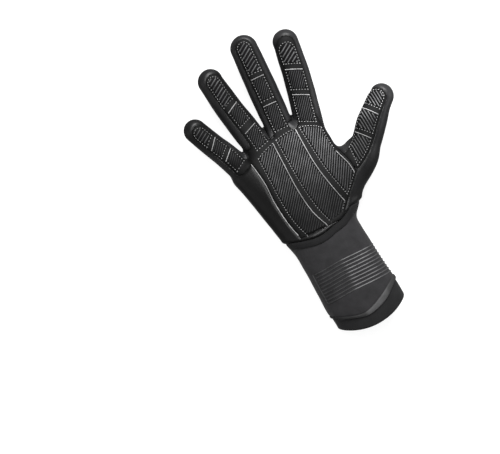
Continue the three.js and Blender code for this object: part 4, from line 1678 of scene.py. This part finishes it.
PADS = (
    PadRow("index", 0.3, 0.53, 0.29, -0.06, "base", FINGER_RIBS, (-16.0, -15.0)),
    PadRow("index", 0.575, 0.75, 0.29, -0.06, "middle", FINGER_RIBS, (-13.0, -16.0)),
    PadRow("index", 0.8, 0.92, 0.28, -0.07, "tip", TIP_RIBS, (-16.0, 0.0)),
    PadRow("middle", 0.31, 0.52, 0.23, -0.01, "base", FINGER_RIBS),
    PadRow("middle", 0.56, 0.745, 0.22, -0.02, "middle", FINGER_RIBS),
    PadRow("middle", 0.785, 0.99, 0.22, -0.02, "tip", TIP_RIBS),
    PadRow("ring", 0.28, 0.465, 0.24, 0.14, "base", FINGER_RIBS, (8.0, 14.0)),
    PadRow("ring", 0.53, 0.7, 0.23, 0.11, "middle", FINGER_RIBS, (10.0, 18.0)),
    PadRow("ring", 0.75, 0.965, 0.22, 0.06, "tip", TIP_RIBS, (14.0, 0.0)),
    PadRow("little", 0.3, 0.5, 0.25, 0.07, "base", FINGER_RIBS, (12.0, 22.0)),
    PadRow("little", 0.56, 0.72, 0.25, 0.04, "middle", FINGER_RIBS, (18.0, 24.0)),
    PadRow("little", 0.78, 0.92, 0.24, 0.02, "tip", TIP_RIBS, (18.0, 0.0)),
    PadRow("thumb", 0.42, 0.63, 0.26, -0.17, "base", THUMB_RIBS, (-34.0, -8.0)),
    PadRow("thumb", 0.67, 0.84, 0.27, -0.17, "middle", THUMB_RIBS, (-6.0, -8.0)),
    PadRow("thumb", 0.885, 0.965, 0.24, -0.15, "tip", THUMB_RIBS, (-6.0, 0.0)),
)


def lay_on_palm(form: GloveForm, lines: list[Array], lift: float) -> Paths:
    """Plan lines laid on the palm.

    Args:
        form: The glove's form.
        lines: The lines in plan.
        lift: How far they stand off the skin.

    Returns:
        For each line its points and the directions out of the skin.
    """
    spots, out = form.drop(np.vstack(lines))
    ends = np.cumsum([len(line) for line in lines])[:-1]
    return list(zip(np.split(spots + out * lift, ends), np.split(out, ends)))


@dataclass
class Grips:
    """The ribbed grip panels of the palm and the grip pads of the fingers."""

    form: GloveForm
    placer: Placer
    tools: NodeTools
    skin: Skin
    plate_rise: float = 0.45
    plate_sink: float = -0.3
    edge_round: float = 0.8
    panel_margin: float = 0.9
    pad_margin: float = 0.72
    step: float = 1.4
    fine_step: float = 0.5
    fewest_points: int = 4
    box_margin: float = 3.0

    def rib_paths(self, inside: PlanTest, low: Array, high: Array, ribs: Ribbing) -> Paths:
        """The ribs of one grip as lines on the skin.

        Args:
            inside: A function of plan points, positive inside the grip.
            low: Lowest corner of the grip's box in plan.
            high: Highest corner.
            ribs: The ribs' sizes.

        Returns:
            For each rib its points and the directions out of the skin.
        """
        turn = math.radians(ribs.angle)
        ahead = np.array((math.cos(turn), math.sin(turn)))
        aside = np.array((-ahead[1], ahead[0]))
        middle, reach = (low + high) / 2, np.linalg.norm(high - low) / 2
        count = int(reach / ribs.pitch) + 1
        spots = np.arange(-reach, reach, self.fine_step)
        lines = []
        for index in range(-count, count + 1):
            line = middle + aside * index * ribs.pitch + spots[:, None] * ahead
            parts = (line[stretch] for stretch in runs(inside(line) > ribs.inset))
            lines += [even(part, self.step) for part in parts if len(part) >= self.fewest_points]
        return lay_on_palm(self.form, lines, ribs.lift)

    def grip(self, name: str, inside: PlanTest, low: Array, high: Array, ribs: Ribbing) -> None:
        """Builds one grip: a thin plate with ribs on it.

        Args:
            name: The CAD node that the grip stands for.
            inside: A function of plan points, positive inside the grip.
            low: Lowest corner of the grip's box in plan.
            high: Highest corner.
            ribs: The ribs' sizes.
        """
        depth = np.full(len(self.skin.points), -1.0)
        plan = self.skin.points[:, :2]
        near = ((plan > low - self.box_margin) & (plan < high + self.box_margin)).all(1)
        near &= self.skin.points[:, 2] > SIZES.parting
        depth[near] = inside(plan[near])
        part, depth = clip(self.skin, depth)
        top = self.plate_rise * (1 - bell(depth, 0, self.edge_round))
        points, triangles, _ = closed_wall(part, top, np.full(len(depth), self.plate_sink))
        thing = self.placer.mesh(f"{name}_ribbed", points, triangles, np.zeros(len(triangles)), (PAD_RUBBER,))
        lines = self.placer.paths(f"{name}_ribs", self.rib_paths(inside, low, high, ribs))
        self.tools.cords(lines, ribs.radius, ribs.finish)
        join(thing, [lines])
        self.placer.keep(thing, "grip_rubber", (name,))

    def palm_grip(self, name: str, outer: str, inner: str, ribs: Ribbing) -> None:
        """Builds one of the three grip panels of the palm.

        Args:
            name: The CAD node that the panel stands for.
            outer: The long seam on the little finger's side.
            inner: The long seam on the thumb side.
            ribs: The ribs' sizes.
        """
        outline = np.vstack([seam_curve(outer), seam_curve(inner)[::-1]])
        top, bottom = plan_curve(GRIP_TOP), plan_curve(GRIP_BOTTOM)

        def inside(plan: Array) -> Array:
            """Distance into the panel, positive inside it."""
            past = plan[:, 1] - height_of(bottom, plan[:, 0])
            short = height_of(top, plan[:, 0]) - plan[:, 1]
            return np.minimum.reduce([inside_distance(plan, outline), past, short]) - self.panel_margin

        self.grip(name, inside, outline.min(0), outline.max(0), ribs)

    def build(self) -> None:
        """Builds every grip of the palm and the fingers."""
        self.palm_grip("palm_grip_outer", "outer_grip_outer", "outer_grip_inner", FINE_RIBS)
        self.palm_grip("palm_grip_middle", "middle_grip_outer", "middle_grip_inner", FINE_RIBS)
        self.palm_grip("palm_grip_inner", "inner_grip_outer", "inner_grip_inner", INNER_RIBS)
        for row in PADS:
            outline = row.strip(self.form).outline

            def inside(plan: Array, outline: Array = outline) -> Array:
                """Distance into the pad, positive inside it."""
                return inside_distance(plan, outline) - self.pad_margin

            self.grip(f"{row.finger}_{row.part}_pad", inside, outline.min(0), outline.max(0), row.ribs)


@dataclass
class Stitching:
    """The pale thread round the grips: rows of stitches and thin solid lines."""

    form: GloveForm
    placer: Placer
    tools: NodeTools
    stitch: Stitch = Stitch()
    lift: float = 0.15
    line_radius: float = 0.38
    solid_top: float = 163.0
    dashed_from: float = 166.0
    step: float = 1.3
    fine_step: float = 1.0
    fewest_points: int = 4
    # The darkest painted shade on the stitches and on the solid lines
    least_stitch_tone: float = 0.5
    least_line_tone: float = 0.62

    def within(self, name: str) -> Array:
        """The part of a long palm seam between the grips' lower and upper ends.

        Args:
            name: The seam.

        Returns:
            The part's plan points.
        """
        line = even(seam_curve(name), self.fine_step)
        past = line[:, 1] - height_of(plan_curve(GRIP_BOTTOM), line[:, 0])
        short = height_of(plan_curve(GRIP_TOP), line[:, 0]) - line[:, 1]
        return line[(past > 0) & (short > 0)]

    def palm_rows(self) -> tuple[list[Array], list[Array]]:
        """Finds the stitched rows and the solid lines of the palm.

        Returns:
            The rows and the lines, in plan.
        """
        rows = [self.within(f"{grip}_grip_outer") for grip in ("outer", "middle", "inner")]
        lines = [self.within(name) for name in ("outer_grip_inner", "middle_grip_inner", "outer_edge")]
        top, bottom = (even(plan_curve(cross), self.fine_step) for cross in (GRIP_TOP, GRIP_BOTTOM))
        for grip in ("outer", "middle", "inner"):
            for cross in (top, bottom):
                first, last = (height_at(seam_curve(f"{grip}_grip_{side}"), cross) for side in ("outer", "inner"))
                part = cross[(cross[:, 0] > first) & (cross[:, 0] < last)]
                if len(part) >= self.fewest_points:
                    rows.append(part)
        inner = self.within("inner_grip_inner")
        rows.append(inner[inner[:, 1] > self.dashed_from])
        lines.append(inner[inner[:, 1] < self.solid_top])
        return rows, lines

    def finger_rows(self) -> tuple[list[Array], list[Array]]:
        """Finds the stitched rows and the solid lines of the fingers.

        Returns:
            The rows and the lines, in plan.
        """
        rows, lines = [], []
        for row in PADS:
            strip = row.strip(self.form)
            rows.append(strip.start)
            if row.part == "tip":
                rows.append(strip.outline)
            else:
                rows += [strip.left, strip.right]
                lines.append(strip.end)
        return rows, lines

    def build(self) -> None:
        """Builds the stitches and the solid lines."""
        for name, (rows, lines) in (("palm", self.palm_rows()), ("finger", self.finger_rows())):
            laid = lay_on_palm(self.form, [even(row, self.step) for row in rows], self.lift)
            thread = self.placer.paths(f"{name}_stitches", laid, self.least_stitch_tone)
            self.placer.keep(self.tools.stitches(thread, self.stitch), "grip_rubber")
            laid = lay_on_palm(self.form, [even(line, self.step) for line in lines], self.lift)
            piping = self.placer.paths(f"{name}_seam_lines", laid, self.least_line_tone)
            self.placer.keep(self.tools.cords(piping, self.line_radius, PIPING), "grip_rubber")


def height_at(curve: Array, cross: Array) -> float:
    """Across at which a long seam meets a line that runs across the palm."""
    gap = curve[:, 1] - height_of(cross, curve[:, 0])
    return float(curve[np.abs(gap).argmin(), 0])


# ---------------------------------------------------------------- cuff


def outward(points: Array, triangles: Array) -> Array:
    """Turns a closed mesh's faces outwards.

    Args:
        points: The mesh's points.
        triangles: Its triangles, all turned the same way.

    Returns:
        The triangles, facing outwards.
    """
    a, b, c = (points[triangles[:, k]] for k in range(3))
    volume = np.einsum("ij,ij->i", a, np.cross(b, c)).sum()
    return triangles if volume > 0 else triangles[:, ::-1]


def ring_faces(rings: int, size: int, closed: bool) -> Array:
    """Joins rings of points, each to the next.

    Args:
        rings: How many rings there are.
        size: Points in each.
        closed: True where the last ring is joined to the first.

    Returns:
        Triangles, first one half of every four-sided face and then the other.
    """
    first = np.arange(rings if closed else rings - 1)
    following = (first + 1) % rings
    side = np.arange(size)
    beside = (side + 1) % size
    a, b, c, d = (
        (ring[:, None] * size + place).ravel()
        for ring, place in ((first, side), (first, beside), (following, side), (following, beside))
    )
    return np.vstack([np.column_stack([a, c, b]), np.column_stack([b, c, d])])


@dataclass
class Ribbon:
    """A raised band that follows a line on the skin."""

    form: GloveForm
    rise: float
    sink: float = -0.3
    across_steps: int = 10
    flatness: float = 3.0
    fullness: float = 0.6

    def mesh(
        self, centre: Array, out: Array, widths: Array, closed: bool, fade: Array | None = None
    ) -> tuple[Array, Array]:
        """Works out the band.

        Args:
            centre: The line's points on the skin.
            out: For each point, the direction out of the skin.
            widths: For each point, the band's width.
            closed: True where the line comes back to its start.
            fade: For each point, the share of the full height there, or nothing.

        Returns:
            The band's points and its triangles.
        """
        count = len(centre)
        if closed:
            run = np.roll(centre, -1, axis=0) - np.roll(centre, 1, axis=0)
        else:
            run = np.gradient(centre, axis=0)
        aside = np.cross(out, run)
        aside /= np.linalg.norm(aside, axis=1, keepdims=True)
        shares = np.linspace(-1, 1, self.across_steps + 1)
        wide = (centre[:, None] + aside[:, None] * (shares[:, None] * widths[:, None, None] / 2)).reshape(-1, 3)
        spots, ways = self.form.project(wide)
        rise = self.rise * (1 - np.abs(shares) ** self.flatness) ** self.fullness
        tall = rise[None, :] * (np.ones(count) if fade is None else fade)[:, None]
        top = spots.reshape(count, -1, 3) + ways.reshape(count, -1, 3) * tall[..., None]
        bottom = (spots + ways * self.sink).reshape(count, -1, 3)[:, ::-1]
        rings = np.concatenate([top, bottom], axis=1)
        size = rings.shape[1]
        triangles = ring_faces(count, size, closed)
        if not closed:
            caps = []
            for base, flip in ((0, False), ((count - 1) * size, True)):
                for k in range(size // 2 - 1):
                    low, high = size - 1 - k, size - 2 - k
                    quads = [(k, k + 1, low), (k + 1, high, low)]
                    caps += [tuple(base + v for v in (quad[::-1] if flip else quad)) for quad in quads]
            triangles = np.vstack([triangles, np.array(caps)])
        points = rings.reshape(-1, 3)
        return points, outward(points, triangles)


@dataclass
class Cuff:
    """The long cuff with its end band, hem tape, wrist band, ribs and badge."""

    form: GloveForm
    placer: Placer
    tools: NodeTools
    wall: SoftWall = SoftWall(groove_depth=0.7)
    end_lip_reach: float = 1.8
    end_lip_drop: float = 0.9
    end_lip_thinning: float = 0.5
    hem_width: float = 4.5
    hem_width_back: float = 2.2
    hem_rise: float = 0.9
    hem_points: int = 180
    hem_side_stretch: float = 14.0
    hem_narrow: float = 0.55
    hem_widening: Fade = Fade(-20.0, 22.0, 0.45)
    hem_bulge: tuple[float, float, float] = (0.35, 14.0, 11.0)
    hem_low: float = 0.35
    hem_fade: Fade = Fade(-34.0, 20.0, 0.65)
    wrist_width: float = 6.8
    wrist_rise: float = 1.4
    wrist_gap: float = 0.5
    wrist_turn: float = 0.12
    wrist_points: int = 110
    wrist_low: float = 0.12
    wrist_fade: Fade = Fade(0.0, 0.9, 0.88)
    tape_width: float = 4.6
    tape_rise: float = 0.8
    tape_inset: float = 3.0
    tape_step: float = 1.5
    rib_pitch: float = 3.3
    rib_count: int = 10
    rib_start: float = 38.2
    rib_radius: float = 0.55
    rib_sides: int = 8
    rib_lift: float = 0.05
    rib_sag: Fade = Fade(4.0, 34.0, 2.6)
    rib_points: int = 420
    level_points: int = 101
    level_reach: float = 50.0
    rib_ends: tuple[float, float] = (-34.5, -37.0)
    rib_step: float = 2.0
    rib_badge_gap: float = 1.5
    badge_radius: float = 12.5
    badge_ring: float = 1.2
    badge_sides: int = 64
    edge_line_plan: Pairs = ((-36.4, 66.0), (-35.6, 52.0), (-34.6, 36.0))
    edge_line_lift: float = 0.15
    edge_line_radius: float = 0.6

    def end_field(self, points: Array) -> Array:
        """How far points are in from the open end."""
        share = (points[:, 0] / SIZES.cuff_width - END_CURVE_MIDDLE) / END_CURVE_HALF
        return points[:, 1] - SIZES.end_rise * share**2

    def shells(self, skin: Skin, hand: Array, hem: Array) -> None:
        """Builds the cuff's tube and its end band.

        Args:
            skin: The glove's whole skin.
            hand: For each of its points, how far it is past the wrist seam.
            hem: For each of its points, how far it is past the hem line.
        """
        tube = np.minimum(-hand, hem)
        thing = self.wall.build(self.placer, "cuff", skin, tube, CUFF_FABRIC, lambda part: np.zeros(len(part.points)))
        self.placer.keep(thing, "cuff_fabric", ("cuff",))
        part, _ = clip(skin, np.minimum(-hem - self.wall.seam_gap, self.end_field(skin.points)))
        lip = np.clip(1 - self.end_field(part.points) / self.end_lip_reach, 0, 1) ** 2
        top = -SIZES.end_band_step - self.end_lip_drop * lip
        points, triangles, marks = closed_wall(part, top, -SIZES.wall + self.end_lip_thinning * lip)
        finishes = (END_FABRIC, LINING, END_FABRIC)
        thing = self.placer.mesh("cuff_end_band_soft", points, triangles, marks, finishes)
        self.placer.keep(thing, "cuff_fabric", ("cuff_end_band",))

    def band(self, name: str, band: tuple[Array, Array], finish: Finish, slot: str) -> None:
        """Hands over a band.

        Args:
            name: The CAD node that it stands for.
            band: Its points and triangles.
            finish: Its finish.
            slot: Its material slot.
        """
        points, triangles = band
        thing = self.placer.mesh(f"{name}_soft", points, triangles, np.zeros(len(triangles)), (finish,))
        self.placer.keep(thing, slot, (name,))

    def hem_tape(self, hem: LevelLine) -> None:
        """Builds the tape all round the hem.

        Args:
            hem: The hem line.
        """
        angles = np.linspace(0, 2 * math.pi, self.hem_points + 1)[:-1]
        centre, out = self.form.ring(angles, hem)
        across = centre[:, 0]
        bulge, middle, reach = self.hem_bulge
        widest = self.hem_narrow + self.hem_widening.at(across) + bulge * bell(across, middle, reach)
        share = palm_share(centre[:, 2], self.hem_side_stretch)
        widths = self.hem_width_back + (self.hem_width * widest - self.hem_width_back) * share
        fade = self.hem_low + self.hem_fade.at(across)
        band = Ribbon(self.form, self.hem_rise).mesh(centre, out, widths, True, fade)
        self.band("hem_tape", band, HEM_RUBBER, "cuff_rubber")

    def wrist_band(self, wrist: LevelLine) -> None:
        """Builds the rolled band below the wrist seam on the palm side.

        Args:
            wrist: The wrist seam.
        """
        angles = np.linspace(self.wrist_turn, math.pi - self.wrist_turn, self.wrist_points)
        centre, out = self.form.ring(angles, wrist.moved(-self.wrist_width / 2 - self.wrist_gap))
        fade = self.wrist_low + self.wrist_fade.at(np.minimum(angles, math.pi - angles))
        widths = np.full(len(centre), self.wrist_width)
        band = Ribbon(self.form, self.wrist_rise).mesh(centre, out, widths, False, fade)
        self.band("wrist_band", band, WRIST_FABRIC, "cuff_fabric")

    def knuckle_tape(self) -> None:
        """Builds the tape over the knuckle seam on the back."""
        line = even(plan_curve(KNUCKLE_SEAM), self.tape_step)
        left, right = plan_curve(BETWEEN_LITTLE_AND_RING), plan_curve(BETWEEN_MIDDLE_AND_INDEX)
        keep = line[:, 0] > np.interp(line[:, 1], left[:, 1], left[:, 0]) + self.tape_inset
        keep &= line[:, 0] < np.interp(line[:, 1], right[:, 1], right[:, 0]) - self.tape_inset
        centre, out = self.form.drop(line[keep], from_above=False)
        band = Ribbon(self.form, self.tape_rise).mesh(centre, out, np.full(len(centre), self.tape_width), False)
        self.band("knuckle_tape", band, SEAM_TAPE, "seam_tape")

    def ribs(self) -> None:
        """Builds the ribs that run from the badge round the thumb side to the palm."""
        badge = np.array(SIZES.badge_centre)
        palm_end, back_end = self.rib_ends
        angles = np.linspace(-math.pi, math.pi, self.rib_points)
        across = np.linspace(-self.level_reach, self.level_reach, self.level_points)
        for index in range(self.rib_count):
            level = self.rib_start + index * self.rib_pitch
            palm = np.column_stack([across, level - self.rib_sag.at(-across)])
            back = np.column_stack([across, np.full(len(across), level)])
            points, out = self.form.ring(angles, LevelLine(palm, back))
            on_palm = points[:, 2] > SIZES.parting
            clear = np.linalg.norm(points[:, :2] - badge, axis=1) > self.badge_radius + self.rib_badge_gap
            keep = np.where(on_palm, points[:, 0] > palm_end, clear & (points[:, 0] > back_end))
            paths = []
            for stretch in runs(keep):
                both = even(np.hstack([points[stretch], out[stretch]]), self.rib_step)
                paths.append((both[:, :3] + both[:, 3:] * self.rib_lift, both[:, 3:]))
            name = f"cuff_rib_{index + 1:02d}"
            lines = self.placer.paths(f"{name}_round", paths)
            self.tools.cords(lines, self.rib_radius, CUFF_RUBBER, self.rib_sides)
            self.placer.keep(lines, "cuff_rubber", (name,))

    def badge(self) -> None:
        """Builds the plain round badge on the back, with a light ring at its edge."""
        edge, ring, sides = self.badge_radius, self.badge_ring, self.badge_sides
        # Radius, height and finish of each circle of points, from the middle outwards and back below
        profile = (
            (0.01, 0.75, 0),
            (3.0, 0.75, 0),
            (6.0, 0.74, 0),
            (9.0, 0.72, 0),
            (edge - ring - 0.1, 0.7, 0),
            (edge - ring, 0.95, 1),
            (edge - ring / 2, 1.05, 1),
            (edge - 0.1, 0.95, 1),
            (edge, 0.7, 1),
            (edge, -0.3, 1),
            (0.01, -0.3, 0),
        )
        turns = np.linspace(0, 2 * math.pi, sides + 1)[:-1]
        round_way = np.column_stack([np.cos(turns), np.sin(turns)])
        rings = []
        for radius, height, _ in profile:
            spots, out = self.form.drop(np.array(SIZES.badge_centre) + round_way * radius, from_above=False)
            rings.append(spots + out * height)
        points = np.vstack(rings)
        faces = outward(points, ring_faces(len(profile), sides, False))
        marks = np.tile(np.repeat([mark for _, _, mark in profile[1:]], sides), 2)
        thing = self.placer.mesh("badge_ringed", points, faces, marks, (BADGE_FACE, BADGE_RING))
        self.placer.keep(thing, "seam_tape", ("badge",))

    def edge_line(self) -> None:
        """Builds the thin light line that bounds the ribs on the palm side."""
        line = even(np.array(self.edge_line_plan), self.tape_step)
        thing = self.placer.paths("rib_end_line", lay_on_palm(self.form, [line], self.edge_line_lift))
        self.placer.keep(self.tools.cords(thing, self.edge_line_radius, CUFF_RUBBER), "cuff_rubber")

    def build(self, skin: Skin, hand: Array, wrist: LevelLine, hem: LevelLine) -> None:
        """Builds everything on the cuff.

        Args:
            skin: The glove's whole skin.
            hand: For each of its points, how far it is past the wrist seam.
            wrist: The wrist seam.
            hem: The hem line.
        """
        self.shells(skin, hand, skin.points[:, 1] - hem.at(skin.points[:, 0], skin.points[:, 2]))
        self.hem_tape(hem)
        self.wrist_band(wrist)
        self.knuckle_tape()
        self.ribs()
        self.badge()
        self.edge_line()


# ---------------------------------------------------------------- stage, light and camera


@dataclass(frozen=True)
class SoftLight:
    """A large square studio light: where it is, how large and how strong."""

    name: str
    place: tuple[float, float, float]
    size: float
    power: float


@dataclass
class Studio:
    """A plain pale floor, soft light, and a camera that looks straight down as the photograph does."""

    placer: Placer
    roll: float = 25.1
    mm_per_pixel: float = 0.95
    view_centre: tuple[float, float, float] = (-70.5, 131.65, 24.0)
    distance: float = 1.2
    picture_width: int = 500
    floor_glow: float = 0.86
    sensor: float = 36.0
    wall_radius: float = 3.0
    wall_height: float = 2.5
    wall_sides: int = 64
    wall_glow: float = 1.0
    world_glow: float = 0.18
    lights: tuple[SoftLight, ...] = (
        SoftLight("key_light", (0.5, 0.95, 1.0), 0.75, 30.0),
        SoftLight("top_light", (-0.1, 0.3, 1.5), 0.6, 9.0),
        SoftLight("left_light", (-1.2, 0.1, 0.4), 0.8, 1.2),
        SoftLight("right_light", (1.25, -0.4, 0.4), 0.8, 3.5),
        SoftLight("cuff_light", (-0.15, -1.3, 0.4), 0.7, 5.0),
    )

    def backdrop(self) -> None:
        """A wide pale floor inside a round pale wall."""
        count = self.wall_sides
        turns = np.linspace(0, 2 * math.pi, count + 1)[:-1]
        ring = np.column_stack([np.cos(turns), np.sin(turns)]) * self.wall_radius
        low = [(x, y, 0.0) for x, y in ring]
        high = [(x, y, self.wall_height) for x, y in ring]
        sides = [(k + count, (k + 1) % count + count, (k + 1) % count, k) for k in range(count)]
        for name, points, faces, glow in (
            ("floor", low, [tuple(range(count))], self.floor_glow),
            ("wall", low + high, sides, self.wall_glow),
        ):
            mesh = bpy.data.meshes.new(name)
            mesh.from_pydata(points, [], faces)
            thing = add_object(name, mesh)
            paint = Finish(f"pale_{name}", (0.3, 0.3, 0.3), roughness=0.95, specular=0.05, mottle=0.0).build()
            shine = {"Emission Color": (1, 1, 1, 1), "Emission Strength": glow}
            Wiring(paint.node_tree).feed(paint.node_tree.nodes["Principled BSDF"], shine)
            mesh.materials.append(paint)
            thing.visible_glossy = False
            thing.visible_diffuse = name == "floor"
            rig.stage(thing)

    def light(self) -> None:
        """The soft lights and an even pale surrounding."""
        world = bpy.data.worlds.new("studio")
        world.use_nodes = True
        glow = {"Color": (1, 1, 1, 1), "Strength": self.world_glow}
        Wiring(world.node_tree).feed(world.node_tree.nodes["Background"], glow)
        bpy.context.scene.world = world
        for soft in self.lights:
            lamp = bpy.data.lights.new(soft.name, "AREA")
            lamp.shape = "SQUARE"
            lamp.size = soft.size
            lamp.energy = soft.power
            thing = add_object(soft.name, lamp)
            thing.location = soft.place
            aim = -np.array(soft.place)
            flat = math.hypot(aim[0], aim[1])
            thing.rotation_euler = (math.atan2(flat, -aim[2]), 0, math.atan2(aim[1], aim[0]) - math.pi / 2)

    def camera(self) -> None:
        """The camera above the glove."""
        lens = bpy.data.cameras.new("camera")
        lens.sensor_width = self.sensor
        lens.lens = self.sensor * self.distance / (self.mm_per_pixel * METRES_PER_MM * self.picture_width)
        thing = add_object("camera", lens)
        centre = placed(np.array(self.view_centre), self.placer.shift)
        thing.location = (centre[0], centre[1], centre[2] + self.distance)
        thing.rotation_euler = (0, 0, -math.radians(self.roll))
        bpy.context.scene.camera = thing

    def build(self) -> None:
        """Sets up the floor, the lights and the camera."""
        self.backdrop()
        self.light()
        self.camera()
        bpy.context.scene.view_settings.view_transform = "Standard"


def main() -> None:
    """Builds the glove piece by piece, then the studio round it."""
    logging.basicConfig(level=logging.INFO, format="%(name)s: %(message)s")
    form = GloveForm()
    placer = Placer()
    tools = NodeTools()
    skin = form.skin()
    LOG.info("skin: %d points", len(skin.points))
    wrist = LevelLine(plan_curve(WRIST_SEAM_PALM), plan_curve(WRIST_SEAM_BACK))
    hem_scale = (SIZES.cuff_width, SIZES.hem_height)
    hem = LevelLine(spline(np.array(HEM_PALM) * hem_scale), spline(np.array(HEM_BACK) * hem_scale))
    hand = skin.points[:, 1] - wrist.at(skin.points[:, 0], skin.points[:, 2])
    HandPanels(form, placer, wrist).build(skin, hand)
    Grips(form, placer, tools, skin).build()
    Stitching(form, placer, tools).build()
    Cuff(form, placer, tools).build(skin, hand, wrist, hem)
    Studio(placer).build()
    with open(SIZE_FILE, "w", encoding="utf-8") as file:
        sizes = {"cad": [list(corner) for corner in CAD_BOX], "visual": [list(corner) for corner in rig.bounds()]}
        json.dump(sizes, file)


if __name__ == "__main__":
    main()
